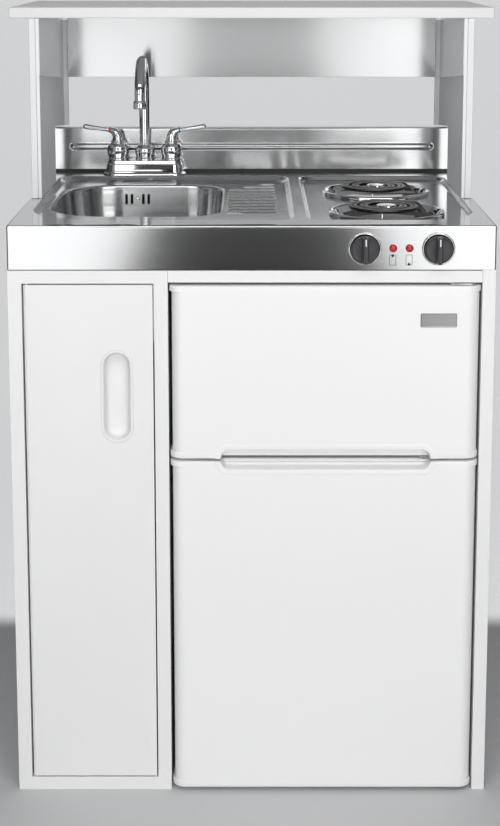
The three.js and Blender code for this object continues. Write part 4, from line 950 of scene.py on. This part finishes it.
# ---- Tap ----
@dataclass
class Tap:
    """The centreset tap: base, bells, collar, levers with their rings, and the swan neck."""

    x: float = -203.0
    y: float = 590.0
    valve_offset: float = 50.8
    reach: float = 124.0
    radius: float = 9.5
    top: float = 229.0
    base_half: Pair = (79.0, 28.0)
    base_radius: float = 26.0
    base_top: float = 28.3
    ball: float = 0.94
    ring: Pair = (0.33, 0.375)
    ring_proud: float = 0.45

    def valve(self, side: int) -> Triple:
        """The foot of the valve at -1 for hot and 1 for cold, and of the spout at 0."""
        return (self.x + side * self.valve_offset, self.y, TOP)

    def base(self) -> None:
        """The long base: a stepped profile carried round its outline, with two shanks and nuts."""
        half, deep = self.base_half
        rect = (self.x - half, self.x + half, self.y - deep, self.y + deep)
        steps = [(0, 0.3), (0, 1.6), (0.7, 3.0), (3, 4.4), (5, 6), (5.4, 8), (5.6, 11), (6.1, 14),
                 (6.9, 17.2), (7.4, 20.2), (8.6, 21.4), (9.2, 22.4), (9.8, 26.2), (10.6, 27.6),
                 (12.5, 28)]
        profile = [(inset, TOP + z) for inset, z in steps]
        skin = Skin().solid(carried(rect, self.base_radius, profile, 14, (2,) * 4))
        nut = [(0, -52), (9.4, -52), (9.4, -17), (17, -17), (17, -5), (20, -5), (20, -1.8),
               (9.4, -1.8), (9.4, 1), (0, 1)]
        for side in (-1, 1):
            skin.grid(revolved(nut, self.valve(side), 32))
        skin.piece("tap_base_casting", CHROME, "cabinet", "tap_base", smooth=32)

    def bells(self) -> None:
        """The two valve bells and the spout's collar, each a turned profile."""
        low = self.base_top
        bell = [(18.6, low), (19.2, 29.6), (18.9, 31.2), (17.8, 32.8), (18.4, 36), (19.8, 41),
                (20.4, 47), (19.6, 52), (17.6, 56.4), (15.2, 59.2), (13, 60.6), (12.4, 61.6),
                (13.3, 62.4), (13.4, 64), (12.4, 65)]
        collar = [(17.6, low), (17.9, 30), (17, 31.8), (16.2, 33.4), (17, 38), (18, 43.5),
                  (17.4, 48.5), (15.4, 52.6), (13.4, 54.6), (12.6, 56), (11.2, 56.6), (10, 56.2)]
        line = np.vstack([(0, low), spline(bell, 5), (0, 65)])
        for side, name in ((-1, "hot"), (1, "cold")):
            body = Skin().grid(revolved(line, self.valve(side), 48))
            body.piece(f"{name}_bell", CHROME, "cabinet", f"{name}_valve_body")
        line = np.vstack([(10, low), spline(collar, 5), (10, low)])
        body = Skin().grid(revolved(line, self.valve(0), 48))
        body.piece("collar", CHROME, "cabinet", "spout_collar")

    def lever(self, side: int, name: str, ring: Finish) -> None:
        """A lever: a tube swept out from the valve that narrows to a ball, and its index ring."""
        x, y, z = self.valve(side)
        places = [(0.4, 65.1), (0.5, 71), (3.5, 78.5), (11, 83.6), (21, 85.6), (44, 88.8), (66, 92)]
        line = spline([(x + side * out, y, z + up) for out, up in places], 20)
        steps = np.linalg.norm(np.diff(line, axis=0), axis=1)
        share = np.concatenate([[0], np.cumsum(steps)]) / steps.sum()
        smooth = spline([(0, 10.6), (0.03, 10.2), (0.1, 9.7), (0.2, 8.5), (0.28, 6.5), (0.36, 4.7),
                         (0.42, 4.0), (0.5, 3.95), (0.7, 4.5), (self.ball, 5.3), (1, 5.3)], 8)
        thick = np.interp(share, smooth[:, 0], smooth[:, 1])
        end = np.clip(share - self.ball, 0, 1) / (1 - self.ball)
        end = np.sqrt(np.clip(1 - end**2, 0, 1))
        arm = Skin().grid(tube(line, thick * end + 0.02, BACK, 28))
        arm.piece(f"{name}_lever_arm", CHROME, f"{name}_lever", f"{name}_lever")
        band = (share > self.ring[0]) & (share < self.ring[1])
        swell = np.sin(np.linspace(0.25, math.pi - 0.25, band.sum()))
        radius = thick[band] + self.ring_proud * swell
        mark = Skin().grid(tube(line[band], radius, BACK, 28))
        mark.piece(f"{name}_index_ring", ring, f"{name}_lever")

    def spout(self) -> None:
        """The swan neck: a tube up, over a half circle and down to its aerator."""
        arch = self.reach / 2
        centre = TOP + self.top - self.radius - arch
        a = np.linspace(0, math.pi, 40)
        up = [(self.y, z) for z in np.linspace(TOP + self.base_top, centre, 14)[:-1]]
        over = columns(self.y - arch + arch * np.cos(a), centre + arch * np.sin(a))
        line = np.vstack([up, over, (self.y - self.reach, centre - 8)])
        path = at_side(line, self.x)
        skin = Skin().grid(tube(path, self.radius, RIGHT, 32))
        tip = [(0, 151.5), (9.5, 151.5), (10.4, 150.6), (11.4, 149.6), (12, 148), (11.4, 146.6),
               (11.2, 145.6), (12, 144), (12, 138.2), (11.4, 137), (10.6, 136.2), (8.6, 136),
               (8.2, 137), (8, 140), (0, 140)]
        skin.grid(revolved(tip, (self.x, self.y - self.reach, TOP), 36))
        skin.piece("swan_neck", CHROME, "spout", "spout")

    def build(self) -> None:
        """Makes the tap's pieces."""
        self.base()
        self.bells()
        self.lever(-1, "hot", RED_MARK)
        self.lever(1, "cold", BLUE_MARK)
        self.spout()


# ---- Hob ----
@dataclass
class Burner:
    """One burner: the drip bowl, the coil element and its support."""

    name: str
    y: float
    x: float = Worktop.burner_x
    ring: float = 96.0
    tube: float = 3.4
    flat: float = 0.72
    outer: float = 65.3
    pair: float = 7.3
    pitch: float = 18.0
    turns: int = 2
    height: float = 4.6
    leg: float = 95.0
    drop: float = 26.0
    turn: float = -135.0
    slot: Rect = (-72.0, -48.0, 8.0, 60.0)
    arm_half: float = 0.8

    def drip_bowl(self) -> None:
        """The drip bowl: a rolled ring that falls to a shallow pan with a turned-down hole."""
        r = self.ring
        over = spline([(r, -7.7), (r, -5), (r - 0.8, -2.6), (r - 3, -1.1), (r - 6, -1),
                       (r - 8.2, -2.2), (r - 10.4, -4.4), (80, -11.5), (70, -17.5), (60, -21.6),
                       (48, -25), (34, -26.6), (24, -27), (22, -27.8), (21.5, -30)], 5)
        bowl = revolved(over, (self.x, self.y, TOP), 180)
        middle = (bowl[:-1] + bowl[1:]) / 2
        x, y = turned(middle[..., 0] - self.x, middle[..., 1] - self.y, -self.turn)
        left, right, near, far = self.slot
        slot = (x > left) & (x < right) & (y > near) & (y < far)
        pan = Skin().grid(bowl, keep=~slot)
        pan.piece(f"{self.name}_drip_pan", DRIP_CHROME, "cabinet", f"{self.name}_drip_bowl",
                  facing=UP, wall=0.6)

    def route(self) -> Array:
        """The element's line: in along a spiral, round a bend at its heart, out beside itself.

        The radius falls by the pitch in each turn, and the way out runs one pair inside the way in.
        """
        a = np.linspace(0, self.turns, self.turns * 72 + 1)
        angle = math.pi + a * TURN
        wave = unit(angle)
        inward = wave * (self.outer - self.pitch * a)[:, None]
        outward = (wave * (self.outer - self.pair - self.pitch * a)[:, None])[::-1]
        spoke = wave[-1]
        along = np.array([-spoke[1], spoke[0]])
        middle = self.outer - self.pitch * self.turns - self.pair / 2
        half = np.linspace(0, math.pi, 13)[1:-1, None]
        bend = spoke * (middle + self.pair / 2 * np.cos(half)) + along * self.pair / 2 * np.sin(half)
        spiral = at_height(np.vstack([inward, bend, outward]), self.height)
        return np.vstack([self._leg(-self.outer)[::-1], spiral, self._leg(self.pair - self.outer)])

    def _leg(self, x: float) -> Array:
        """One end of the element, from the spiral down and back to its terminal."""
        low = -self.drop
        places = [(x, 0, self.height), (x, 12, self.height - 1.2), (x, 24, self.height - 10),
                  (x, 38, low + 8), (x, 54, low), (x, self.leg, low)]
        return spline(places, 6)[1:]

    def coil(self) -> None:
        """The sheathed tube along its route, pressed flat on top."""
        route = self.route()
        x, y = turned(route[:, 0], route[:, 1], self.turn)
        path = columns(x, y, route[:, 2]) + np.array([self.x, self.y, TOP])
        skin = Skin().grid(tube(path, self.tube, UP, 14, self.flat))
        skin.piece(f"{self.name}_element", SHEATH, f"{self.name}_element", f"{self.name}_coil")

    def support(self) -> None:
        """Three arms on edge, and the round medallion on its stem."""
        centre = (self.x, self.y, TOP)
        top = self.height - self.tube - 0.3
        line = np.array([(5, -6.5), (72, -6.5), (80, -5.4), (84, -3.6), (86, top), (83, top + 1.4),
                         (78, top + 1.6), (75, top), (5, top)])
        skin = Skin()
        for k in range(3):
            angle = QUARTER + k * TURN / 3
            out = np.array([math.cos(angle), math.sin(angle)])
            side = np.array([-out[1], out[0]])
            rings = [at_height(np.outer(line[:, 0], out) + side * offset, line[:, 1])
                     for offset in (-self.arm_half, self.arm_half)]
            skin.solid(np.stack(rings) + np.array(centre))
        medal = [(0, -6.5), (6, -6.5), (6, 1), (8, 3), (11, 4.4), (16.4, 4.8), (17, 5.6), (16.6, 7),
                 (14.6, 8), (13.4, 7.7), (12, 7.9), (6, 8.5), (0, 8.6)]
        skin.grid(revolved(medal, centre, 48))
        skin.piece(f"{self.name}_support", CHROME, f"{self.name}_element",
                   f"{self.name}_coil_support")

    def build(self) -> None:
        """Makes the burner's pieces."""
        self.drip_bowl()
        self.coil()
        self.support()


@dataclass
class Controls:
    """The knobs with their bezels, the pilot lamps and the burner marks on the fascia."""

    knob_x: Pair = (176.0, 290.5)
    knob_z: float = 901.5
    knob_radius: float = 21.7
    reach: float = 28.0
    lamp_x: Pair = (220.0, 245.5)
    lamp_z: float = 902.4
    mark_x: Pair = (219.4, 244.9)
    mark_z: Pair = (875.4, 892.2)
    mark_half: float = 5.3
    dot_radius: float = 2.2
    bar_half: float = 4.8
    switch_half: float = 18.0

    def knob(self, x: float, name: str) -> None:
        """A dark knob: a turned skirt with a groove, a raised bar across it and a pale index."""
        r, z, body = self.knob_radius, self.knob_z, f"{name}_knob"
        rim = spline([(r - 0.9, 3.2), (r - 0.1, 4.2), (r, 6), (r, 10.6), (r - 0.5, 12),
                      (r - 1.8, 12.8), (r - 2.6, 12.4), (r - 3.4, 12.2)], 4)
        skirt = np.vstack([(0, 3.2), rim, (9, 13.2), (0, 13.4)])
        disc = Skin().grid(revolved(skirt, (x, 0, z), 72, True))
        shaft = [(0, -9.5), (3, -9.5), (3, 4), (0, 4)]
        disc.grid(revolved(shaft, (x, 0, z), 20, True))
        disc.piece(f"{name}_knob_skirt", KNOB_PLASTIC, body, body)
        rect = (x - self.bar_half, x + self.bar_half, z - r + 0.4, z + r - 0.4)
        profile = [(0, -11.5), (0.1, -20), (0.7, -26), (1.3, -27.2), (2.4, 0.3 - self.reach)]
        bar = Skin().solid(carried(rect, 4.2, profile, stand=True))
        bar.piece(f"{name}_knob_bar", KNOB_PLASTIC, body)
        rect = (x - 0.9, x + 0.9, z + 8, z + r - 2.6)
        profile = [(0, 0.6 - self.reach), (0, 0.05 - self.reach)]
        index = Skin().solid(carried(rect, 0.6, profile, 4, stand=True))
        index.piece(f"{name}_knob_index", PALE_INK, body)

    def bezel(self, x: float, name: str) -> None:
        """The polished dish round a knob, with the switch body behind the fascia."""
        z = self.knob_z
        edge = spline([(25.8, 0.3), (25.9, 1.6), (25.3, 3.2), (24.4, 4), (23.4, 4), (22.8, 3.2),
                       (22.3, 1.6), (20, 1.3)], 5)
        line = np.vstack([(3.7, 0.3), edge, (3.7, 1.3), (3.7, 0.3)])
        dish = Skin().grid(revolved(line, (x, 0, z), 96, True))
        dish.piece(f"{name}_bezel", CHROME, "cabinet", f"{name}_burner_switch")
        half = self.switch_half
        rect = (x - half, x + half, z - half, z + half)
        skin = Skin().solid(carried(rect, 2, [(0.8, 1.8), (0, 3), (0, 33), (0.8, 34)], 4, stand=True))
        for pin in (x - 10, x, x + 10):
            rect = (pin - 3, pin + 3, z - 9, z - 8)
            skin.solid(carried(rect, 0, [(0, 33), (0, 42)], 1, stand=True))
        skin.piece(f"{name}_switch_body", BLACK_PLASTIC, "cabinet")

    def lamp(self, x: float, name: str) -> None:
        """A pilot lamp: a red dome with a flat brim, and its body behind the fascia."""
        dome = spline([(6.3, 0.3), (6.3, 1.5), (5.7, 3.1), (4.2, 4.8), (2.1, 5.8), (0, 6)], 5)
        line = np.vstack([(0, -14), (3.6, -14), (3.6, 0.3), dome])
        body = Skin().grid(revolved(line, (x, 0, self.lamp_z), 40, True))
        body.piece(f"{name}_lamp_lens", RED_LENS, "cabinet", f"{name}_pilot_lamp")

    def mark(self, x: float, name: str, dot_at_top: bool) -> None:
        """A printed frame with a dot at one end that tells which burner a lamp belongs to."""
        rect = (x - self.mark_half, x + self.mark_half, *self.mark_z)
        outline = Skin().grid(carried(rect, 0.6, [(0, -0.06), (0.9, -0.06)], 3, stand=True))
        outline.piece(f"{name}_mark", GREY_INK, "cabinet", facing=TO_USER, wall=0.05)
        z = self.mark_z[1] - 1.6 if dot_at_top else self.mark_z[0] + 1.6
        r = self.dot_radius
        dot = Skin().grid(revolved([(0, 0.12), (r, 0.12), (r, 0.02)], (x, 0, z), 24, True))
        dot.piece(f"{name}_dot", INK, "cabinet", facing=TO_USER)

    def build(self) -> None:
        """Makes both sets of controls."""
        for side, name in enumerate(("left", "right")):
            self.knob(self.knob_x[side], name)
            self.bezel(self.knob_x[side], name)
            self.lamp(self.lamp_x[side], name)
            self.mark(self.mark_x[side], name, side == 0)


# ---- Refrigerator doors ----
@dataclass
class CoolerDoors:
    """The freezer door and the refrigerator door, their grip and the bare plate."""

    sheet: Pair = (-125.5, 357.0)
    cap: Pair = (-129.0, 359.0)
    front: float = -8.0
    rear: float = 42.0
    radius: float = 20.0
    cap_height: float = 10.0
    grip: Rect = (-49.0, 283.0, 547.5, 580.0)
    grip_radius: float = 14.0
    grip_depth: float = 18.0
    hinge_x: float = 337.0
    pin_radius: float = 4.6
    pin_depth: float = 18.0
    plate_rect: Rect = (263.5, 320.5, 778.5, 800.6)

    def section(self, span: Pair, inset: float = 0.0) -> Array:
        """The door's outline in plan: a flat front with a quarter round at both sides."""
        left, right = span[0] + inset, span[1] - inset
        middle, r = self.front + self.radius, self.radius - inset
        arcs = []
        for start, x, wide in ((2, span[0] + self.radius, r), (3, self.hinge_x, right - self.hinge_x)):
            a = np.linspace(start * QUARTER, (start + 1) * QUARTER, 15)
            arcs.append(columns(x + wide * np.cos(a), middle + r * np.sin(a)))
        rear = self.rear - inset
        return np.vstack([(left, rear), *arcs, (right, rear)])

    def body(self, low: float, high: float) -> Object:
        """The door's sheet between two moulded end caps with eased rims."""
        cap = self.cap_height
        middle = [at_height(self.section(self.sheet), z) for z in (low + cap - 2, high - cap + 2)]
        skin = Skin().solid(np.stack(middle))
        for end, way in ((low, 1), (high, -1)):
            levels = [(1.6, 0), (0.5, 0.4), (0, 1.6), (0, cap - 1), (0.8, cap)]
            skin.solid(np.stack([at_height(self.section(self.cap, i), end + z * way)
                                 for i, z in levels]))
        return skin.object("door", smooth=35)

    def cut(self, door: Object, cutters: list[Object]) -> None:
        """Takes the cutters out of a door and drops them."""
        for cutter in cutters:
            step = door.modifiers.new("cut", "BOOLEAN")
            step.operation = "DIFFERENCE"
            step.solver = "EXACT"
            step.use_self = True
            step.object = cutter
        ready = door.evaluated_get(bpy.context.evaluated_depsgraph_get())
        door.data = bpy.data.meshes.new_from_object(ready)
        door.modifiers.clear()
        for cutter in cutters:
            bpy.data.objects.remove(cutter)

    def pocket(self) -> Object:
        """The grip's space: a rounded slot that narrows a little with its depth."""
        profile = [(-0.5, self.front - 2), (0, self.front + 1), (1, self.front + 6),
                   (3, self.front + self.grip_depth)]
        rings = carried(self.grip, self.grip_radius, profile, 12, stand=True)
        return Skin().solid(rings).object("grip_space")

    def pin_hole(self, low: float, high: float) -> Object:
        """The room for a hinge pin."""
        line = [(0, low), (self.pin_radius, low), (self.pin_radius, high), (0, high)]
        centre = (self.hinge_x, self.front + self.radius, 0)
        return Skin().grid(revolved(line, centre, 24)).object("pin_space")

    def lip(self, low: float, high: float, name: str, body: str) -> None:
        """The slightly raised band pressed round the grip on one door.

        Args:
            low: lowest height of the band.
            high: highest height of the band.
            name: the piece's name.
            body: the door's body.
        """
        shape = [(-9.5, 0.2), (-8.6, -0.35), (-7.2, -0.6), (-1.6, -0.6), (-0.4, -0.2), (0.4, 1.4)]
        profile = [(inset, self.front + y) for inset, y in shape]
        rings = carried(self.grip, self.grip_radius, profile, 16, stand=True)
        rings[..., 2] = np.clip(rings[..., 2], low, high)
        Skin().grid(rings).piece(name, DOOR_ENAMEL, body, facing=TO_USER)

    def door(self, node: str) -> Pair:
        """Makes one door with its grip's space and its pin holes, and gives its lowest and top Z."""
        low, high = (corner.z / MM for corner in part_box(node))
        door = self.body(low, high)
        door.name = f"{node}_shell"
        deep = self.pin_depth
        self.cut(door, [self.pocket(), self.pin_hole(low - 1, low + deep),
                        self.pin_hole(high - deep, high + 1)])
        door.data.name = door.name
        settle(ease(door, 0.5, 2), DOOR_ENAMEL, node, node)
        return low, high

    def build(self) -> None:
        """Makes both doors, their grip's lip and the bare plate."""
        low, _ = self.door("freezer_door")
        _, high = self.door("fridge_door")
        self.lip(low, TOP, "freezer_grip_lip", "freezer_door")
        self.lip(0, high, "fridge_grip_lip", "fridge_door")
        self.plate()

    def plate(self) -> None:
        """The small bare metal plate near the freezer door's top right corner."""
        shape = [(0, 0.3), (0, -0.9), (0.3, -1.2), (1.1, -1.2), (1.6, -0.8)]
        profile = [(inset, self.front + y) for inset, y in shape]
        skin = Skin().solid(carried(self.plate_rect, 1.6, profile, 6, stand=True))
        skin.piece("bare_plate", PLATE_STEEL, "freezer_door", smooth=15, lay=(RIGHT, UP))


# ---- Sink door ----
@dataclass
class SinkDoor:
    """The sink cupboard's door with its moulded finger pull."""

    pull_x: float = -212.0
    pull_z: float = 664.5
    width: float = 51.0
    height: float = 151.0
    depth: float = 16.0

    def build(self) -> None:
        """Makes the door's pan and the finger pull."""
        settle(eased_copy("sink_door", "sink_door_pan", 0.7), ENAMEL, "sink_door", "sink_door")
        x, z, half, rise = self.pull_x, self.pull_z, self.width / 2, self.height / 2
        rect = (x - half, x + half, z - rise, z + rise)
        outer = spline([(0, -0.3), (0.1, -0.9), (0.6, -1.5), (1.4, -1.6), (3.4, -1.5), (4.6, -0.9),
                        (5.2, 0.6), (6, 5), (7.2, 11), (9.4, 14.6), (13, self.depth)], 4)
        loops = carried(rect, half - 0.1, outer, 20, (1, 24, 1, 24), stand=True)
        spine = np.clip(loops[-1][:, 2], rect[2] + half, rect[3] - half)
        core = upright(at_side(spine, x), self.depth)
        cup = Skin().grid(np.concatenate([loops, core[None]]))
        cup.piece("pull_cup", WHITE_PLASTIC, "sink_door", "finger_pull", facing=TO_USER, wall=1.2)


# ---- Plumbing under the worktop and the machinery behind ----
@dataclass
class Plumbing:
    """The trap under the drain."""

    x: float = Bowl.drain[0]
    y: float = Bowl.drain[1]
    top: float = TOP - 165.3
    bend: float = 44.0
    low: float = 680.0
    arm: float = 722.0
    radius: float = 19.0

    def build(self) -> None:
        """Makes the trap as one smooth tube down, round two bends and back, with a union nut."""
        bends = []
        for start, end, steps, y, z in (
            (math.pi, TURN, 20, self.y + self.bend, self.low),
            (math.pi, QUARTER, 12, self.y + 3 * self.bend, self.arm - self.bend),
        ):
            a = np.linspace(start, end, steps)
            bends.append(columns(y + self.bend * np.cos(a), z + self.bend * np.sin(a)))
        line = np.vstack([(self.y, self.top), (self.y, self.top - 30), *bends,
                          (self.y + 4 * self.bend, self.arm), (DEPTH - 2, self.arm)])
        path = at_side(line, self.x)
        r = self.radius
        skin = Skin().grid(tube(path, r, RIGHT, 28))
        nut = [(r, -12), (24, -12), (25, -10), (25, 10), (24, 12), (r, 12)]
        skin.grid(revolved(nut, (self.x, self.y, self.top - 22), 12))
        skin.piece("waste_trap_pipe", WHITE_PLASTIC, "cabinet", "waste_trap")


@dataclass
class Machine:
    """The compressor in its bay."""

    x: float = 200.0
    y: float = 525.0
    floor: float = 20.3
    plate: Rect = (100, 300, 470, 580)
    plate_thickness: float = 3.7

    def build(self) -> None:
        """Makes the welded pot with its seam band, on its plate."""
        pot = spline([(52, 0), (60, 3), (65.4, 10), (66, 16), (66, 58), (67.4, 60), (67.4, 66),
                      (65, 68), (64.4, 72), (64, 102), (61, 114), (52, 125), (36, 132),
                      (18, 135.4), (0, 136)], 4)
        skin = Skin().grid(revolved(np.vstack([(0, 0), pot]), (self.x, self.y, self.floor), 64))
        levels = [(0, self.floor), (0, self.floor + self.plate_thickness)]
        skin.solid(carried(self.plate, 10, levels, 6))
        skin.piece("compressor_pot", COMPRESSOR_PAINT, "cabinet", "compressor")


@dataclass
class ShelfWings:
    """The thin steel facings on the inner sides of the shelf unit, beside the back panel."""

    bottom: Pair = (1149.5, 1119.0)
    thickness: float = 0.8
    liner_face: float = 5.75
    setback: float = 1.0
    gap: float = 0.3

    def build(self) -> None:
        """Makes one facing on each side, its lower edge falling a little towards the back panel."""
        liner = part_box("left_side_liner")[0]
        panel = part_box("shelf_back_panel")
        top = panel[1].z / MM - 1
        front = liner.y / MM - FRONT_PLANE + self.setback
        rear = panel[0].y / MM - FRONT_PLANE - self.gap
        near = liner.x / MM + self.liner_face
        line = [(front, self.bottom[0]), (rear, self.bottom[1]), (rear, top), (front, top)]
        for side, name in ((1, "left"), (-1, "right")):
            rings = [at_side(line, side * x)
                     for x in (near, near + self.thickness)]
            wing = Skin().solid(np.stack(rings))
            wing.piece(f"{name}_wing", WING_STEEL, "cabinet", lay=(BACK, UP))


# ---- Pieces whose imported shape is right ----
EASED = [
    (ENAMEL, 0.7, ["face_frame"]),
    (ENAMEL, 0.5, ["left_side", "right_side", "fridge_rail"]),
    (ENAMEL, 0.3, ["back_panel"]),
    (ENAMEL, 0.6, ["rear_frame"]),
    (ENAMEL, 0.5, ["cabinet_floor"]),
    (ENAMEL, 1.2, ["left_side_board", "right_side_board"]),
    # Side liners: their grey is paler than the real plastic, painted light for their shade.
    (PAINTED_LIGHT_GREY, 0.8, ["left_side_liner", "right_side_liner"]),
    (ENAMEL, 1.6, ["top_shelf"]),
    (PANEL_STEEL, 0.5, ["shelf_back_panel"]),
    (LINER, 1.2, ["fridge_cabinet"]),
    (WHITE_PLASTIC, 1.0, ["thermostat_housing"]),
    (GREY_PLASTIC, 0.8, ["thermostat_dial"]),
    (GLASS, 1.0, ["fridge_shelf"]),
    (ZINC, 0.3, ["top_hinge", "middle_hinge", "bottom_hinge"]),
    (GASKET, 1.5, ["freezer_gasket", "fridge_gasket"]),
    (WHITE_PLASTIC, 1.0, ["door_racks"]),
]
CARRIED_OVER = {
    "partition": ENAMEL,
    "door_stiffener": ENAMEL,
    "door_catch": BLACK_PLASTIC,
    "overflow_pipe": DARK_GREY,
    # The backsplash_seal node is a black strip in the gap under the backsplash: painted shade, dark as
    # the shadow in that gap.
    "backsplash_seal": BLACK_PLASTIC,
    "front_terminal_block": BLACK_PLASTIC,
    "rear_terminal_block": BLACK_PLASTIC,
}


def body_of(node: str) -> str:
    """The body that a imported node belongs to."""
    bodies = frame["record"]["behaviour"]["bodies"]
    return next(body for body, nodes in bodies.items() if node in nodes)


def dress_packed_pieces() -> None:
    """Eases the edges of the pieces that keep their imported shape, and dresses the rest."""
    for finish, width, nodes in EASED:
        for node in nodes:
            piece = eased_copy(node, f"{node}_piece", width)
            if finish.anisotropy:
                map_strip(piece, *ALONG_TOP)
            settle(piece, finish, body_of(node), node)
    for node, finish in CARRIED_OVER.items():
        finish.dress(frame["nodes"][node])


# ---- Studio ----
@dataclass(frozen=True)
class Lamp:
    """A soft rectangular light.

    Attributes:
        name: its name.
        place: where it hangs, in metres.
        aim: what it points at, in metres.
        size: its width and height in metres.
        power: its power in watts.
        mirrored: whether shiny surfaces show it.
    """

    name: str
    place: Triple
    aim: Triple
    size: Pair
    power: float
    mirrored: bool = True

    def hang(self) -> None:
        """Adds the light to the scene, out of the camera's sight."""
        data = bpy.data.lights.new(self.name, "AREA")
        data.shape = "RECTANGLE"
        data.size, data.size_y = self.size
        data.energy = self.power
        lamp = linked(self.name, data)
        lamp.location = self.place
        way = Vector(self.aim) - Vector(self.place)
        lamp.rotation_euler = way.to_track_quat("-Z", "Y").to_euler()
        lamp.visible_camera = False
        lamp.visible_glossy = self.mirrored


LAMPS = [
    Lamp("front_box", (0.0, -2.65, 0.665), (0.0, 0.0, 0.665), (3.8, 1.27), 23),
    Lamp("fill_box", (0.0, -3.2, 0.9), (0.0, 0.0, 0.7), (4.0, 1.4), 22, mirrored=False),
    Lamp("left_box", (-1.25, -2.65, 1.75), (-1.25, 0.0, 1.75), (1.5, 0.6), 6),
    Lamp("right_box", (1.2, -2.65, 1.75), (1.2, 0.0, 1.75), (1.5, 0.9), 11),
    Lamp("top_box", (0.0, -1.8, 2.8), (0, -0.1, 0.9), (3.0, 1.2), 31),
]


@dataclass
class Studio:
    """The pale floor and backdrop, the dark cards, the lights and the camera before the unit."""

    eye: Triple = (0.0, -2500.0, 1360.0)
    tilt: float = 9.2
    lens: float = 71.3
    shift: Pair = (-0.0019, -0.24)
    half_width: float = 9000.0
    wall: float = 4500.0
    high: float = 7000.0
    bend: float = 1500.0
    glow_from: Pair = (0.33, 0.42)
    backdrop_glow: float = 0.5
    surround: float = 0.07
    paper: Triple = (0.98, 0.99, 1.0)
    card_y: float = -2290.0
    card_x: float = 880.0

    def camera(self) -> None:
        """Sets the camera at the photograph's distance and height, tilted a little down."""
        data = bpy.data.cameras.new("camera")
        data.lens = self.lens
        data.sensor_width = 36.0
        data.shift_x, data.shift_y = self.shift
        data.clip_end = 100.0
        eye = linked("camera", data)
        eye.location = (np.array(self.eye) + (0, FRONT_PLANE, 0)) * MM
        eye.rotation_euler = (math.radians(90 - self.tilt), 0, 0)
        bpy.context.scene.camera = eye

    def maths(self, tree: Tree, operation: str, *values: object) -> Socket:
        """The value of a sum, a product or the like of two values."""
        node = add(tree, "Math", dict(enumerate(values)))
        node.operation = operation
        return node.outputs["Value"]

    def seen(self, tree: Tree) -> Socket:
        """A value of 1 for rays from the camera, from glossy surfaces and through glass."""
        path = add(tree, "LightPath", {}).outputs
        total = path["Is Camera Ray"]
        for name in ("Is Glossy Ray", "Is Transmission Ray"):
            total = self.maths(tree, "MAXIMUM", total, path[name])
        return total

    def floor(self) -> None:
        """A wide pale floor that turns up into a backdrop, which glows a little behind the unit."""
        t, r = np.linspace(0, QUARTER, 13), self.bend
        bend = columns(self.wall - r + r * np.sin(t), r * (1 - np.cos(t)))
        line = np.vstack([(-self.half_width, 0), bend, (self.wall, self.high)])
        rings = [at_side(line, x)
                 for x in (-self.half_width, self.half_width)]
        floor = Skin().grid(np.stack(rings), closed=False).object("studio_floor", facing=UP)
        material, tree, shader = node_material("studio_floor")
        place = add(tree, "NewGeometry", {}).outputs["Position"]
        y = add(tree, "SeparateXYZ", {"Vector": place}).outputs["Y"]
        start, end = self.glow_from
        far = add(tree, "MapRange", {"Value": y, "From Min": start, "From Max": end,
                                     "To Max": self.backdrop_glow})
        far.interpolation_type = "SMOOTHSTEP"
        glow = self.maths(tree, "MULTIPLY", far.outputs["Result"], self.seen(tree))
        feed(tree, shader, {"Base Color": (0.62, 0.625, 0.635, 1), "Roughness": 0.6,
                            "Emission Color": (*self.paper, 1), "Emission Strength": glow})
        floor.data.materials.append(material)

    def card(self, name: str, rings: list, facing: Triple) -> None:
        """A dark card that only shiny surfaces see.

        Args:
            name: its name.
            rings: its places along one long side, and those along the other.
            facing: where its front looks.
        """
        card = Skin().grid(np.array(rings, float), closed=False).object(name, facing=facing)
        material, tree, shader = node_material(name)
        feed(tree, shader, {"Base Color": (0.02, 0.02, 0.022, 1), "Roughness": 0.8})
        card.data.materials.append(material)
        card.visible_camera = card.visible_shadow = card.visible_diffuse = False

    def cards(self) -> None:
        """One card that rises from the floor, one over it, and one beside each side behind.

        The first two give the brushed steel its dark middle, and the others the chrome's dark edges.
        """
        y = self.card_y
        rows = {
            "low_flag": [(-560, 600, -600, 6), (-560, 600, y, 6), (-350, 390, y, 480),
                         (-250, 275, y, 800), (-190, 215, y, 900)],
            "high_flag": [(-220, 240, y, 1120), (-240, 260, y, 1450)],
        }
        for name, places in rows.items():
            self.card(name, [[(row[side], *row[2:]) for row in places] for side in (0, 1)], (0, 1, 1))
        for name, x in (("left_flag", -self.card_x), ("right_flag", self.card_x)):
            self.card(name, [[(x, y, z) for z in (300, 2000)] for y in (700, 2600)], (-x, 0, 0))

    def world(self) -> None:
        """A dim, even surround."""
        world = bpy.data.worlds.new("surround")
        world.use_nodes = True
        back = world.node_tree.nodes["Background"]
        feed(world.node_tree, back, {"Color": (*self.paper, 1), "Strength": self.surround})
        bpy.context.scene.world = world

    def build(self) -> None:
        """Sets the stage."""
        bpy.context.scene.view_settings.view_transform = "Standard"
        self.camera()
        self.floor()
        self.cards()
        self.world()
        for lamp in LAMPS:
            lamp.hang()


def main() -> None:
    """Builds the studio and every sub-assembly in order."""
    logging.basicConfig(level=logging.INFO, format="%(name)s: %(message)s")
    Studio().build()
    bowl, worktop = Bowl(), Worktop()
    worktop.build(bowl)
    bowl.build()
    Backsplash().build()
    Tap().build()
    for name, y in zip(("front", "rear"), worktop.burner_y):
        Burner(name, y).build()
    for assembly in (Controls(), CoolerDoors(), SinkDoor(), Plumbing(), Machine(), ShelfWings()):
        assembly.build()
    dress_packed_pieces()


if __name__ == "__main__":
    main()
